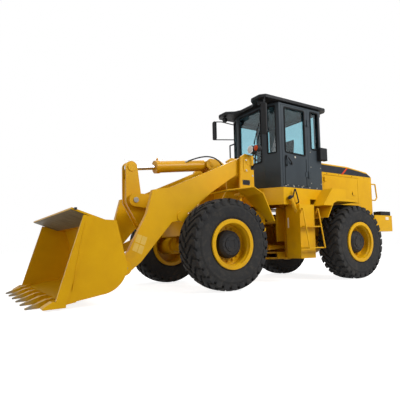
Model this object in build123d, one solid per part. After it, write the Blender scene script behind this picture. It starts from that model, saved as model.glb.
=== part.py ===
from build123d import *
import os
from math import atan2, cos, hypot, pi, radians, sin, sqrt

# Articulated wheel loader of the three-tonne class, standing on flat ground with its bucket down.
# Millimetres. X points forward, Y to the left and Z up. Everything is laid out from the steering
# pivot, half way between the axles, and moved at the end so that the middle of the length is x = 0.

# Overall layout
WHEELBASE = 2870
TRACK = 1840
AXLE_X = WHEELBASE / 2
FRONT_REACH = 4090        # pivot to the tips of the bucket teeth
REAR_REACH = 3060         # pivot to the tow hooks
X_MIDDLE = (FRONT_REACH - REAR_REACH) / 2

# Wheels
TYRE_R = 665
TYRE_W = 445
TREAD_W = 400
LUG_COUNT = 22           # lugs on each shoulder
LUG_DEPTH = 32
LUG_SWAY = 0.5            # how far a lug leans round the tyre, in half pitches
RIM_R = 318
RIM_FLANGE_R = 356
RIM_WALL = 18
BEAD_IN = 25              # the tyre's bead, inside its widest point
HUB_R = 198
HUB_BACK = 190           # from the wheel's middle to the back of its hub
SEAT_GAP = 0.3
WHEEL_Y = TRACK / 2

# Side-view points of the lift arms and their linkage, x and z
BOOM_PIVOT = (774, 1992)
BUCKET_PIVOT = (2870, 385)
ROCKER_PIVOT = (2478, 1353)
ROCKER_TOP = (2512, 1857)
ROCKER_LOW = (2221, 818)
LINK_BUCKET = (2722, 598)
TILT_BASE = (1088, 2030)
LIFT_BASE = (430, 770)
LIFT_EYE = (1984, 1080)

# Lift arms
ARM_IN = 585
ARM_T = 75
ARM_OUT = ARM_IN + ARM_T
PIVOT_BOSS_R = 105
NOSE_R = 100
CROSS_TUBE = (2120, 1330)
CROSS_TUBE_R = 95
ROCKER_BRACKET_IN = 120
ROCKER_BRACKET_T = 40

# Rocker and link
ROCKER_HALF = 85
CHEEK_T = 30
ROCKER_EYE_R = 92
LINK_HALF = 50
LINK_EYE_R = 78
PIN_R = 40
PIN_GAP = 0.5
SIDE_GAP = 5

# Bucket
BUCKET_W = 2450
SIDE_T = 25
SHELL_T = 18
LIP = (3850, 46)
HEEL = (3330, 132)
BACK_LOW = (3035, 430)
BACK_TOP = (3165, 967)
SIDE_TOP = (3300, 972)
SIDE_FRONT_TOP = (3542, 1021)
GUARD_TIP = (3671, 1099)
TOOTH_COUNT = 6
TOOTH_PITCH = 368
TOOTH_W = 92
TOOTH_TIP_W = 40
CUTTER_T = 10             # side cutters, outside the side plates
CUTTER_W = 120
CORNER_W = 130            # blunt wear pieces at the ends of the cutting edge

# Frames
LAMP_X = 730
LAMP_Z = 2165
LAMP_R = 66
PLATE_T = 35
MAIN_IN = 340             # inside of the front frame's main plates
TOWER_OUT_IN = 690        # inside of the tower's outer plates
TOWER_OUT_T = 35
REAR_IN = 370             # inside of the rear frame's side plates
REAR_T = 30
TANK_IN = REAR_IN + REAR_T
LUG_T = 50
HINGE_R = 110
HINGE_PIN_R = 45
UPPER_HINGE_Z = 1100
LOWER_HINGE_Z = 450
LIFT_CYL_Y = 470
STEER_FRONT = (310, 265)
STEER_REAR = (-520, 290)
STEER_Z = 600

# Cylinders
LIFT_BARREL_R = 65
LIFT_ROD_R = 36
TILT_BARREL_R = 92
TILT_BARREL = 1010
TILT_ROD_R = 42
STEER_BARREL_R = 42
STEER_ROD_R = 24
ROD_GAP = 0.3
GUIDE_R = 7               # thin rod above the tilt cylinder that shows the bucket's angle
GUIDE_UP = 128
GUIDE_BEYOND = 55
GUIDE_LENGTH = 650
GUIDE_PAST = 110

# Axles
AXLE_Z = TYRE_R
AXLE_R = 105
DIFF_R = 215

# Deck, tanks and cab
DECK_HALF = 850
DECK_TOP = 1600
DECK_T = 25
SKIRT_LOW = 1310
DECK_FRONT = 400
STEER_SWEEP = 620         # how far forward the deck may reach at full steering lock
STEER_LIMIT = 36
DECK_REAR = -1040
TANK_OUT = 980
TANK_LOW = 410
TANK_TOP = SKIRT_LOW - SEAT_GAP
TANK_FRONT = -70
TANK_REAR = -420
FILLER_R = 33
FILLER_Y = 900
FILLER_LEAN = 110
LADDER_R = 11
STEP_LOW = 582
STEP_HIGH = 935
CAB_HALF = 650
CAB_FRONT_HALF = 380
CAB_FRONT = 120
CAB_REAR = -1050
CAB_FLOOR = 1605
CAB_TOP = 3140
CAB_WALL = 50
GLASS_T = 8
SEAL = 0.4
DOOR_FRONT = -50
DOOR_REAR = -700
DOOR_LOW = 1680
DOOR_TOP = CAB_TOP - 25
DOOR_GAP = 6
SILL_Z = 2240
WINDOW_TOP = CAB_TOP - 40
ROOF_LOW = CAB_TOP + 20
ROOF_T = 60

# Engine housing and tail
HOOD_HALF = 600
HOOD_WALL = 30
HOOD_ROUND = 28
HOOD_FRONT = -1095
HOOD_REAR = -2640
HOOD_TOP = 2180
HOOD_TAIL_TOP = 2030
FENDER_TOP = 1399
FENDER_END = -1480
LEDGE_REAR = -1140
LEDGE_OUT = 1090
HOOD_LOW = FENDER_TOP
HATCH_FRONT = -1150
HINGE_ROD_R = 6
CAB_HINGES = (1900, 2860)
HATCH_HINGES = (1540, 1860)
HATCH_REAR = -2180
HATCH_LOW = 1440
HATCH_TOP = 1960
WEIGHT_FRONT = -2290
WEIGHT_REAR = -3000
WEIGHT_HALF = 870
WEIGHT_LOW = 870
WEIGHT_TOP = 1190
REAR_HITCH = -REAR_REACH + 5


def slab(points, y0, y1):
    """An outline of (x, z) points, from y0 to y1."""
    line = Polyline(*[(x, y0, z) for x, z in points], close=True)
    return extrude(make_face(line), amount=y1 - y0, dir=(0, 1, 0))


def sheet(points, z0, z1):
    """An outline of (x, y) points, from z0 to z1."""
    line = Polyline(*[(x, y, z0) for x, y in points], close=True)
    return extrude(make_face(line), amount=z1 - z0, dir=(0, 0, 1))


def block(x0, x1, y0, y1, z0, z1):
    """A box between two corners."""
    size = (abs(x1 - x0), abs(y1 - y0), abs(z1 - z0))
    return Pos((x0 + x1) / 2, (y0 + y1) / 2, (z0 + z1) / 2) * Box(*size)


def pin(at, radius, y0, y1):
    """A round bar along Y at a side-view point."""
    return Pos(at[0], (y0 + y1) / 2, at[1]) * Rot(90, 0, 0) * Cylinder(radius, abs(y1 - y0))


def post(x, y, radius, z0, z1):
    """A round bar along Z."""
    return Pos(x, y, (z0 + z1) / 2) * Cylinder(radius, abs(z1 - z0))


def bar(start, end, radius):
    """A round bar between two points."""
    start, end = Vector(*start), Vector(*end)
    plane = Plane(origin=start, z_dir=end - start)
    length = (end - start).length
    return plane * Cylinder(radius, length, align=(Align.CENTER, Align.CENTER, Align.MIN))


def both(shape):
    """The shape and its mirror image on the other side."""
    return shape + mirror(shape, about=Plane.XZ)


def toward(start, end, distance):
    """The point a distance from start in the direction of end."""
    span = sqrt(sum((b - a) ** 2 for a, b in zip(start, end)))
    return tuple(a + (b - a) * distance / span for a, b in zip(start, end))


def strap(a, b, ra, rb, y0, y1):
    """A flat bar with two round ends whose sides touch both circles."""
    span = hypot(b[0] - a[0], b[1] - a[1])
    heading = atan2(b[1] - a[1], b[0] - a[0])
    lean = atan2(sqrt(span ** 2 - (ra - rb) ** 2), ra - rb)
    points = []
    for centre, radius, side in ((a, ra, 1), (b, rb, 1), (b, rb, -1), (a, ra, -1)):
        turn = heading + side * lean
        points.append((centre[0] + radius * cos(turn), centre[1] + radius * sin(turn)))
    return slab(points, y0, y1) + pin(a, ra, y0, y1) + pin(b, rb, y0, y1)


def wheel_profile(points):
    """Turn an outline of (y, radius) points about the axle."""
    line = Polyline(*[(radius, y) for y, radius in points], close=True)
    return Rot(-90, 0, 0) * Rot(90, 0, 0) * revolve(make_face(line), Axis.Y)


def round_point(turn, y, radius):
    """A point of a wheel at an angle about the axle."""
    return Vector(radius * cos(turn), y, radius * sin(turn))


def facet(points):
    """A flat face through some points."""
    return Face(Wire.make_polygon(points, close=True))


def tyre():
    """A faceted tyre whose shoulder lugs alternate from side to side and lean round it."""
    half = TYRE_W / 2
    tread = TREAD_W / 2
    floor = TYRE_R - LUG_DEPTH
    shoulder = (half - 10, floor - 45)
    lug = [(0, floor), (tread * 0.15, TYRE_R), (tread - 20, TYRE_R - 6), shoulder]
    groove = [(0, floor), (tread - 20, floor - 8), shoulder]
    pitch = pi / LUG_COUNT
    bore = RIM_R / cos(pitch / 2)
    wall_line = [shoulder, (half, RIM_R + 140), (half - BEAD_IN, RIM_FLANGE_R + 3), (half - BEAD_IN, bore)]
    sway = LUG_SWAY * pitch

    def at(column, side, point):
        y, radius = point
        lean = sway * min(1, y / (tread - 20)) * side
        return round_point(column * pitch + lean, side * y, radius)

    faces = []
    for column in range(2 * LUG_COUNT):
        for side in (1, -1):
            raised = (column % 2 == 0) == (side > 0)
            crown = lug if raised else groove
            for a, b in zip(crown, crown[1:]):
                faces.append(facet([at(column, side, a), at(column + 1, side, a), at(column + 1, side, b)]))
                faces.append(facet([at(column, side, a), at(column + 1, side, b), at(column, side, b)]))
            for a, b in zip(wall_line, wall_line[1:]):
                faces.append(facet([at(column, side, a), at(column + 1, side, a), at(column + 1, side, b),
                                    at(column, side, b)]))
            for a, b in ((lug[1], lug[2]), (lug[2], groove[1])):
                faces.append(facet([at(column, side, groove[0]), at(column, side, a), at(column, side, b)]))
            faces.append(facet([at(column, side, lug[2]), at(column, side, shoulder), at(column, side, groove[1])]))
        bead = wall_line[-1]
        faces.append(facet([at(column, 1, bead), at(column + 1, 1, bead), at(column + 1, -1, bead)]))
        faces.append(facet([at(column, 1, bead), at(column + 1, -1, bead), at(column, -1, bead)]))
    return Solid(Shell(faces))


def rim(side):
    """A dished rim with its flanges, lock ring and reduction hub."""
    half = TYRE_W / 2
    bead = half - BEAD_IN
    outline = [
        (-half, RIM_FLANGE_R), (-half, RIM_R - RIM_WALL), (side * 40 - 12, RIM_R - RIM_WALL - 10),
        (side * 40 - 12, 0), (side * 40 + 12, 0), (side * 40 + 12, RIM_R - RIM_WALL - 10),
        (half, RIM_R - RIM_WALL), (half, RIM_FLANGE_R), (bead + 0.3, RIM_FLANGE_R), (bead + 0.3, RIM_R - 0.3),
        (-bead - 0.3, RIM_R - 0.3), (-bead - 0.3, RIM_FLANGE_R),
    ]
    disc = wheel_profile(outline)
    hub = [(side * 52, 0), (side * 52, HUB_R), (side * 130, HUB_R - 12), (side * 165, HUB_R - 50), (side * 165, 0)]
    back = [(side * 28, 0), (side * 28, 150), (side * -HUB_BACK, 150), (side * -HUB_BACK, 0)]
    return disc + wheel_profile(hub) + wheel_profile(back)


def axle(x):
    """An axle housing with its differential and brake housings."""
    body = pin((x, AXLE_Z), AXLE_R, -600, 600)
    middle = Pos(x, 0, AXLE_Z) * Sphere(DIFF_R)
    brakes = both(pin((x, AXLE_Z), 150, 545, WHEEL_Y - HUB_BACK - SEAT_GAP))
    nose = bar((x, 0, AXLE_Z), (x - (250 if x > 0 else -250), 0, AXLE_Z), 90)
    pads = both(block(x - 110, x + 110, MAIN_IN - 20, MAIN_IN + 90, AXLE_Z, 800))
    return body + middle + brakes + nose + pads


def front_frame():
    """Main plates and lift towers, with the lugs of the steering pivot."""
    plate = slab([
        (150, 1000), (150, 1230), (640, 1230), (665, 1480), (665, 2095), (850, 2110), (950, 2050),
        (960, 1560), (1150, 1250), (1790, 1100), (1790, 800), (900, 800), (700, 425), (150, 425),
        (150, 500), (330, 520), (330, 1000),
    ], MAIN_IN, MAIN_IN + PLATE_T)
    outer = slab([
        (672, 1440), (672, 2090), (850, 2105), (935, 2050), (960, 1560), (960, 1440),
    ], TOWER_OUT_IN, TOWER_OUT_IN + TOWER_OUT_T)
    shelf = block(672, 960, MAIN_IN + PLATE_T, TOWER_OUT_IN, 1440, 1475)
    cut = block(745, 961, LIFT_CYL_Y - 88, LIFT_CYL_Y + 88, 1430, 1480)
    rear = block(672, 700, MAIN_IN + PLATE_T, TOWER_OUT_IN, 1440, 1870)
    boss = pin(BOOM_PIVOT, 85, MAIN_IN - 10, MAIN_IN + PLATE_T + 15)
    cap = pin(BOOM_PIVOT, 62, TOWER_OUT_IN + TOWER_OUT_T, TOWER_OUT_IN + TOWER_OUT_T + 14)
    hold_lift = pin(LIFT_BASE, 32, LIFT_CYL_Y - 50, LIFT_CYL_Y + 100)
    lug = slab([
        (315, 680), (315, 930), (400, 930), (400, 860), (470, 835), (500, 770), (470, 705), (400, 680),
    ], LIFT_CYL_Y + 75, LIFT_CYL_Y + 100)
    web = block(315, 345, MAIN_IN + PLATE_T, LIFT_CYL_Y + 75, 690, 930)
    sides = both(plate + outer + (shelf - cut) + rear + boss + cap + lug + hold_lift + web)

    wall = block(690, 730, -MAIN_IN, MAIN_IN, 900, 1950)
    front = block(1750, 1785, -MAIN_IN, MAIN_IN, 810, 1100)
    floor = block(300, 690, -MAIN_IN, MAIN_IN, 425, 450)
    top = sheet([(1000, -MAIN_IN), (1780, -MAIN_IN), (1780, MAIN_IN), (1000, MAIN_IN)], 1080, 1105)
    upper = sheet([(0, -HINGE_R), (300, -MAIN_IN), (620, -MAIN_IN), (620, MAIN_IN), (300, MAIN_IN), (0, HINGE_R)],
                  UPPER_HINGE_Z - LUG_T / 2, UPPER_HINGE_Z + LUG_T / 2)
    lower = sheet([(0, -HINGE_R), (300, -MAIN_IN), (620, -MAIN_IN), (620, MAIN_IN), (300, MAIN_IN), (0, HINGE_R)],
                  LOWER_HINGE_Z - LUG_T / 2, LOWER_HINGE_Z + LUG_T / 2)
    rings = post(0, 0, HINGE_R, UPPER_HINGE_Z - LUG_T / 2, UPPER_HINGE_Z + LUG_T / 2)
    rings += post(0, 0, HINGE_R, LOWER_HINGE_Z - LUG_T / 2, LOWER_HINGE_Z + LUG_T / 2)
    pin_holes = post(0, 0, HINGE_PIN_R + PIN_GAP, 300, 1300)

    # lugs of the tilt cylinder, on a cross beam between the towers
    ears = both(slab([
        (730, 1620), (730, 1990), (940, 2115), (1120, 2120), (1185, 2070), (1185, 1985), (1080, 1900), (900, 1640),
    ], TILT_BARREL_R + 12, TILT_BARREL_R + 42))
    beam = pin((860, 1700), 60, -MAIN_IN, MAIN_IN)
    hold = pin(TILT_BASE, PIN_R, -TILT_BARREL_R - 50, TILT_BARREL_R + 50)

    # brackets of the steering cylinders
    x, y = STEER_FRONT
    bracket = sheet([(x - 50, y - 50), (x + 130, y - 50), (x + 130, MAIN_IN), (x + 20, MAIN_IN), (x - 50, y + 30)], -15, 15)
    brackets = both((Pos(0, 0, STEER_Z - 48) * bracket) + (Pos(0, 0, STEER_Z + 48) * bracket))
    holes = both(post(x, y, 20, STEER_Z - 80, STEER_Z + 80))
    body = sides + wall + front + floor + top + upper + lower + rings + ears + beam + hold + brackets
    return body - pin_holes - holes


def front_fenders():
    """Bent plates over the front wheels, carried on the towers."""
    inner, outer = TOWER_OUT_IN + TOWER_OUT_T, WHEEL_Y + 220
    top = slab([(1530, 1430), (1035, 1512), (860, 1424), (860, 1412), (1035, 1498), (1530, 1418)], inner, outer)
    tail = slab([(866, 1424), (645, 1000), (632, 1006), (852, 1430)], inner, outer)
    trim = sheet([(560, inner - 60), (880, inner - 60), (840, inner), (650, 985), (560, 985)], 900, 1405)
    return both(top + (tail - trim))


def headlamps():
    """A round headlamp and an indicator on each tower, on a bent tube from its outer plate."""
    outer = TOWER_OUT_IN + TOWER_OUT_T
    lamp = round_pod(LAMP_X, outer + 68, LAMP_Z, LAMP_R, 110)
    signal = round_pod(LAMP_X, outer + 190, LAMP_Z, LAMP_R - 16, 90)
    join = block(LAMP_X - 30, LAMP_X + 20, outer + 68, outer + 190, LAMP_Z - 22, LAMP_Z + 22)
    stem = rail([(LAMP_X - 30, outer, 1890), (LAMP_X - 30, outer + 70, 1950), (LAMP_X - 20, outer + 110, LAMP_Z)], 12)
    foot = block(LAMP_X - 62, LAMP_X, outer, outer + 8, 1860, 1925)
    stem -= block(LAMP_X - 100, LAMP_X + 100, outer - 40, outer, 1800, 2000)
    return both(lamp + signal + join + stem + foot)


def round_pod(x, y, z, radius, depth):
    """A round lamp housing along X with a rounded back."""
    turn = Plane(origin=(x, y, z), x_dir=(0, 1, 0), z_dir=(1, 0, 0))
    shell = turn * Cylinder(radius, depth)
    back = shell.faces().sort_by(Axis.X)[0]
    return fillet(back.edges(), radius * 0.4)


def tow_eye(y):
    """One hook under the tail."""
    ring = Pos(WEIGHT_REAR + 60, y, WEIGHT_LOW - 30) * Rot(90, 0, 0) * Cylinder(45, 40)
    return ring - Pos(WEIGHT_REAR + 60, y, WEIGHT_LOW - 38) * Rot(90, 0, 0) * Cylinder(20, 60)


def lift_arms():
    """Two lift arms on a cross tube, with the brackets of the rocker."""
    arm = slab([
        (700, 2066), (802, 2092), (1293, 1869), (2156, 1494), (2440, 1440), (2532, 1106), (2802, 603),
        (2955, 438), (2790, 325), (2627, 452), (2148, 995), (2060, 1010), (1900, 1015), (1880, 1130),
        (1454, 1463), (945, 1789), (696, 1922),
    ], ARM_IN, ARM_OUT)
    ends = pin(BOOM_PIVOT, PIVOT_BOSS_R, ARM_IN - 20, ARM_OUT + 15) + pin(BUCKET_PIVOT, NOSE_R, ARM_IN, ARM_OUT)
    lug = pin(LIFT_EYE, 80, ARM_IN, ARM_OUT + 12) + pin(LIFT_EYE, 36, LIFT_CYL_Y + 45, ARM_IN)
    bracket = strap(CROSS_TUBE, ROCKER_PIVOT, CROSS_TUBE_R + 20, 100, ROCKER_BRACKET_IN,
                    ROCKER_BRACKET_IN + ROCKER_BRACKET_T)
    body = both(arm + ends + lug + bracket) + pin(CROSS_TUBE, CROSS_TUBE_R, -ARM_IN - 5, ARM_IN + 5)
    bores = pin(BUCKET_PIVOT, PIN_R + PIN_GAP, -ARM_OUT - 5, ARM_OUT + 5)
    bores += pin(ROCKER_PIVOT, PIN_R + PIN_GAP, -250, 250)
    bores += pin(BOOM_PIVOT, PIN_R + 5 + PIN_GAP, -800, 800)
    return body - bores


def boom_pins():
    """The two pins that carry the lift arms in the towers."""
    return both(pin(BOOM_PIVOT, PIN_R + 5, MAIN_IN + PLATE_T + 15, TOWER_OUT_IN))


def rocker():
    """A cranked lever of two cheeks and a web, open for the rod's eye and the link's eye."""
    inner = ROCKER_HALF - CHEEK_T
    cheek = strap(ROCKER_PIVOT, ROCKER_TOP, 125, ROCKER_EYE_R, inner, ROCKER_HALF)
    cheek += strap(ROCKER_PIVOT, ROCKER_LOW, 125, ROCKER_EYE_R - 4, inner, ROCKER_HALF)
    core = strap(ROCKER_PIVOT, toward(ROCKER_PIVOT, ROCKER_TOP, 300), 110, 88, -inner, inner)
    core += strap(ROCKER_PIVOT, toward(ROCKER_PIVOT, ROCKER_LOW, 330), 110, 85, -inner, inner)
    core -= pin(ROCKER_TOP, ROCKER_EYE_R + 95, -inner, inner)
    bosses = pin(ROCKER_PIVOT, 80, -ROCKER_BRACKET_IN + SIDE_GAP, ROCKER_BRACKET_IN - SIDE_GAP)
    tops = both(pin(ROCKER_TOP, 62, ROCKER_HALF, ROCKER_HALF + 14))
    body = both(cheek) + core + bosses + tops
    body -= pin(ROCKER_PIVOT, PIN_R + PIN_GAP, -200, 200)
    return body - pin(ROCKER_LOW, PIN_R + PIN_GAP, -200, 200)


def link():
    """The bar from the rocker's lower end to the bucket, with a thick eye at each end."""
    ends = pin(ROCKER_LOW, LINK_EYE_R, -LINK_HALF, LINK_HALF) + pin(LINK_BUCKET, LINK_EYE_R, -LINK_HALF, LINK_HALF)
    body = ends + strap(ROCKER_LOW, LINK_BUCKET, 58, 58, -30, 30)
    body -= pin(ROCKER_LOW, PIN_R + PIN_GAP, -60, 60)
    return body - pin(LINK_BUCKET, PIN_R + 2, -60, 60)


def tooth(y):
    """One tooth: an adapter on the cutting edge and a tip that narrows to a blunt point."""
    back, front = LIP[0] - 130, LIP[0] + 30
    top, bottom = LIP[1] + 52, LIP[1] - 30
    root = Plane(origin=(front, y, (top + bottom) / 2), x_dir=(0, 1, 0), z_dir=(1, 0, 0))
    end = Plane(origin=(FRONT_REACH, y, 12), x_dir=(0, 1, 0), z_dir=(1, 0, 0))
    tip = loft([root * Rectangle(TOOTH_W, top - bottom), end * Rectangle(TOOTH_TIP_W, 16)])
    adapter = slab([(back, LIP[1] + 34), (back + 90, top + 12), (front, top), (front, bottom), (LIP[0], bottom)],
                   y - TOOTH_W / 2 + 8, y + TOOTH_W / 2 - 8)
    return adapter + tip


def bucket():
    """Shell, side plates with their cutters, spill guard, ears, cutting edge and teeth."""
    half = BUCKET_W / 2 - CUTTER_T
    inner = half - SIDE_T
    face_line = [Line(LIP, HEEL), RadiusArc(HEEL, BACK_LOW, 330), Line(BACK_LOW, BACK_TOP), Line(BACK_TOP, SIDE_TOP),
                 Line(SIDE_TOP, SIDE_FRONT_TOP), Line(SIDE_FRONT_TOP, LIP)]
    profile = make_face(Wire([e for line in face_line for e in line.edges()]))
    place = Plane(origin=(0, 0, 0), x_dir=(1, 0, 0), z_dir=(0, -1, 0))
    solid = Pos(0, half, 0) * extrude(place * profile, amount=2 * half)
    room = offset(profile, amount=-SHELL_T, kind=Kind.INTERSECTION)
    hollow = Pos(0, inner, 0) * extrude(place * room, amount=2 * inner)
    floor_z = LIP[1] + SHELL_T
    mouth = slab([(SIDE_TOP[0] - 30, SIDE_TOP[1] - SHELL_T), (SIDE_TOP[0] + 60, SIDE_TOP[1] + 400),
                  (LIP[0] + 400, SIDE_TOP[1] + 400), (LIP[0] + 400, floor_z + 8), (LIP[0] - 60, floor_z + 10)],
                 -inner, inner)
    shell = solid - hollow - mouth
    guard = slab([(SIDE_TOP[0] - 70, SIDE_TOP[1] - 22), SIDE_TOP, GUARD_TIP, (GUARD_TIP[0] + 6, GUARD_TIP[1] - 18),
                  (SIDE_TOP[0], SIDE_TOP[1] - 22)], -half, half)
    edge = slab([(LIP[0] - 230, LIP[1] + 30), (LIP[0] - 230, LIP[1] + 52), (LIP[0] + 10, LIP[1] + 16),
                 (LIP[0] + 60, LIP[1] - 12), (LIP[0] + 40, LIP[1] - 16)], -half, half)
    cutter = slab([LIP, toward(LIP, HEEL, CUTTER_W), toward(SIDE_FRONT_TOP, SIDE_TOP, CUTTER_W), SIDE_FRONT_TOP],
                  half, half + CUTTER_T)
    corner = slab([(LIP[0] - 120, LIP[1] - 18), (LIP[0] - 130, LIP[1] + 60), (LIP[0] + 20, LIP[1] + 52),
                   (LIP[0] + 120, LIP[1] - 6), (LIP[0] + 110, LIP[1] - 24)], BUCKET_W / 2 - CORNER_W, BUCKET_W / 2)
    first = -TOOTH_PITCH * (TOOTH_COUNT - 1) / 2
    teeth = [tooth(first + i * TOOTH_PITCH) for i in range(TOOTH_COUNT)]
    ear = slab([(3150, 240), (2900, 286), (2785, 350), (2785, 440), (2890, 484), (3120, 600)], 0, SIDE_T)
    ear += pin(BUCKET_PIVOT, NOSE_R, 0, SIDE_T)
    hinge = both((Pos(0, ARM_IN - SIDE_GAP - SIDE_T, 0) * ear) + (Pos(0, ARM_OUT + SIDE_GAP, 0) * ear))
    lug = strap(LINK_BUCKET, (3040, 640), 66, 130, LINK_HALF + SIDE_GAP, LINK_HALF + SIDE_GAP + 32)
    caps = both(pin(LINK_BUCKET, 50, LINK_HALF + SIDE_GAP + 32, LINK_HALF + SIDE_GAP + 46))
    keep = (both(lug) + hinge) - solid
    cut = pin(BUCKET_PIVOT, PIN_R + PIN_GAP, -half, half)
    body = shell + guard + edge + both(cutter + corner) + (keep - cut) + (caps - solid)
    for one in teeth:
        body += one
    return body


def bucket_pins():
    """The two pins between the lift arms and the bucket."""
    reach = SIDE_GAP + SIDE_T + 12
    return both(pin(BUCKET_PIVOT, PIN_R, ARM_IN - reach, ARM_OUT + reach))


def cylinder_barrel(base, end, radius, rod, length, neck_r, neck_to):
    """A barrel on a narrower neck, with a gland at its mouth and a bore for the rod."""
    mouth = toward(base, end, length)
    body = bar(toward(base, end, 40), toward(base, end, neck_to), neck_r)
    body += bar(toward(base, end, neck_to), mouth, radius)
    body += bar(toward(base, end, length - 70), mouth, radius + 10)
    return body - bar(toward(base, end, neck_to + 30), toward(base, end, length + 5), rod + ROD_GAP)


def guide_line():
    """The ends of the thin rod above the tilt cylinder, which runs beside its piston rod."""
    base, end = Vector(*TILT_BASE), Vector(*ROCKER_TOP)
    along = (end - base).normalized()
    up = Vector(-along.Y, along.X)
    start = end + along * GUIDE_BEYOND + up * GUIDE_UP
    finish = start - along * GUIDE_LENGTH
    return (start.X, 0, start.Y), (finish.X, 0, finish.Y)


def tilt_barrel():
    base = (TILT_BASE[0], 0, TILT_BASE[1])
    end = (ROCKER_TOP[0], 0, ROCKER_TOP[1])
    body = cylinder_barrel(base, end, TILT_BARREL_R, TILT_ROD_R, TILT_BARREL, LINK_HALF, 90)
    body += pin(TILT_BASE, 80, -LINK_HALF, LINK_HALF)
    start, finish = guide_line()
    spot = toward(finish, start, GUIDE_PAST)
    foot = toward(spot, toward(base, end, TILT_BARREL - 30), GUIDE_UP - TILT_BARREL_R - 5)
    body += bar(foot, spot, 9) + bar(toward(spot, start, 12), toward(spot, finish, 12), 16)
    body -= bar(start, toward(finish, start, -20), GUIDE_R + ROD_GAP)
    return body - pin(TILT_BASE, PIN_R + PIN_GAP, -LINK_HALF - 1, LINK_HALF + 1)


def tilt_rod():
    base = (TILT_BASE[0], 0, TILT_BASE[1])
    end = (ROCKER_TOP[0], 0, ROCKER_TOP[1])
    body = bar(toward(base, end, 480), toward(end, base, 60), TILT_ROD_R)
    body += pin(ROCKER_TOP, 78, -LINK_HALF, LINK_HALF)
    start, finish = guide_line()
    body += bar(start, finish, GUIDE_R) + bar(end, start, 9) + Pos(*start) * Sphere(9)
    return body - pin(ROCKER_TOP, PIN_R, -LINK_HALF - 1, LINK_HALF + 1)


def lift_barrels():
    base = (LIFT_BASE[0], LIFT_CYL_Y, LIFT_BASE[1])
    end = (LIFT_EYE[0], LIFT_CYL_Y, LIFT_EYE[1])
    body = cylinder_barrel(base, end, LIFT_BARREL_R, LIFT_ROD_R, 1330, 45, 80)
    body += pin(LIFT_BASE, 72, LIFT_CYL_Y - 45, LIFT_CYL_Y + 45)
    return both(body - pin(LIFT_BASE, 32 + PIN_GAP, LIFT_CYL_Y - 50, LIFT_CYL_Y + 50))


def lift_rods():
    base = (LIFT_BASE[0], LIFT_CYL_Y, LIFT_BASE[1])
    end = (LIFT_EYE[0], LIFT_CYL_Y, LIFT_EYE[1])
    body = bar(toward(base, end, 150), toward(end, base, 50), LIFT_ROD_R)
    body += pin(LIFT_EYE, 66, LIFT_CYL_Y - 38, LIFT_CYL_Y + 38)
    return both(body - pin(LIFT_EYE, 34, LIFT_CYL_Y - 50, LIFT_CYL_Y + 50))


def steer_barrel():
    base = (*STEER_REAR, STEER_Z)
    end = (*STEER_FRONT, STEER_Z)
    body = cylinder_barrel(base, end, STEER_BARREL_R, STEER_ROD_R, 560, 26, 90)
    body += post(*STEER_REAR, 42, STEER_Z - 28, STEER_Z + 28)
    return body - post(*STEER_REAR, 20 + PIN_GAP, STEER_Z - 40, STEER_Z + 40)


def steer_rod():
    base = (*STEER_REAR, STEER_Z)
    end = (*STEER_FRONT, STEER_Z)
    body = bar(toward(base, end, 305), toward(end, base, 30), STEER_ROD_R)
    body += post(*STEER_FRONT, 40, STEER_Z - 28, STEER_Z + 28)
    return body - post(*STEER_FRONT, 18, STEER_Z - 40, STEER_Z + 40)


def rear_frame():
    """Two side plates, cross walls and the fork of the steering pivot."""
    side = both(slab([
        (-110, 1290), (-110, 700), (-430, 700), (-430, 510), (-110, 510), (-110, 400), (-760, 400),
        (-1080, 800), (-2980, 800), (-2980, 1060), (-2285, 1060), (-900, 1175), (-480, 1290),
    ], REAR_IN, REAR_IN + REAR_T))
    walls = block(-790, -760, -REAR_IN, REAR_IN, 420, 1150) + block(-2280, -2250, -REAR_IN, REAR_IN, 820, 1060)
    taper = [(0, -HINGE_R), (-300, -REAR_IN), (-780, -REAR_IN), (-780, REAR_IN), (-300, REAR_IN), (0, HINGE_R)]
    forks = None
    for z in (UPPER_HINGE_Z, LOWER_HINGE_Z):
        for side_of in (-1, 1):
            middle = z + side_of * (LUG_T / 2 + 25)
            layer = sheet(taper, middle - 15, middle + 15) + post(0, 0, HINGE_R, middle - 15, middle + 15)
            forks = layer if forks is None else forks + layer
    pins = post(0, 0, HINGE_PIN_R, UPPER_HINGE_Z - 70, UPPER_HINGE_Z + 70)
    pins += post(0, 0, HINGE_PIN_R, LOWER_HINGE_Z - 70, LOWER_HINGE_Z + 70)
    x, y = STEER_REAR
    bracket = sheet([(x - 50, y - 50), (x + 50, y - 50), (x + 50, REAR_IN), (x - 50, REAR_IN)], -12, 12)
    brackets = both((Pos(0, 0, STEER_Z - 45) * bracket) + (Pos(0, 0, STEER_Z + 45) * bracket))
    swivels = both(post(x, y, 20, STEER_Z - 62, STEER_Z + 62))
    legs = both(block(-900, -860, REAR_IN - 100, REAR_IN + REAR_T, 1150, DECK_TOP - DECK_T))
    legs += both(block(-340, -300, REAR_IN - 100, REAR_IN + REAR_T, 1150, DECK_TOP - DECK_T))
    return side + walls + forks + pins + brackets + swivels + legs


def deck_outline(grow=0):
    """The deck's plan, cut back where the lift towers swing past at full lock."""
    limit = STEER_SWEEP + grow
    half = DECK_HALF + grow
    front = DECK_FRONT + grow
    lock = radians(STEER_LIMIT)
    corner_x = (limit - half * sin(lock)) / cos(lock)
    corner_y = (limit - front * cos(lock)) / sin(lock)
    left = [(front, corner_y), (corner_x, half), (DECK_REAR - grow, half)]
    return [(x, -y) for x, y in left] + list(reversed(left))


def deck():
    """The deck under the cab with its skirts."""
    plate = sheet(deck_outline(), SKIRT_LOW, DECK_TOP)
    room = sheet(deck_outline(-DECK_T), SKIRT_LOW - 10, DECK_TOP - DECK_T)
    rear = block(DECK_REAR - 10, -480, -DECK_HALF - 1, DECK_HALF + 1, SKIRT_LOW - 5, 1420)
    return plate - room - rear


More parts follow.
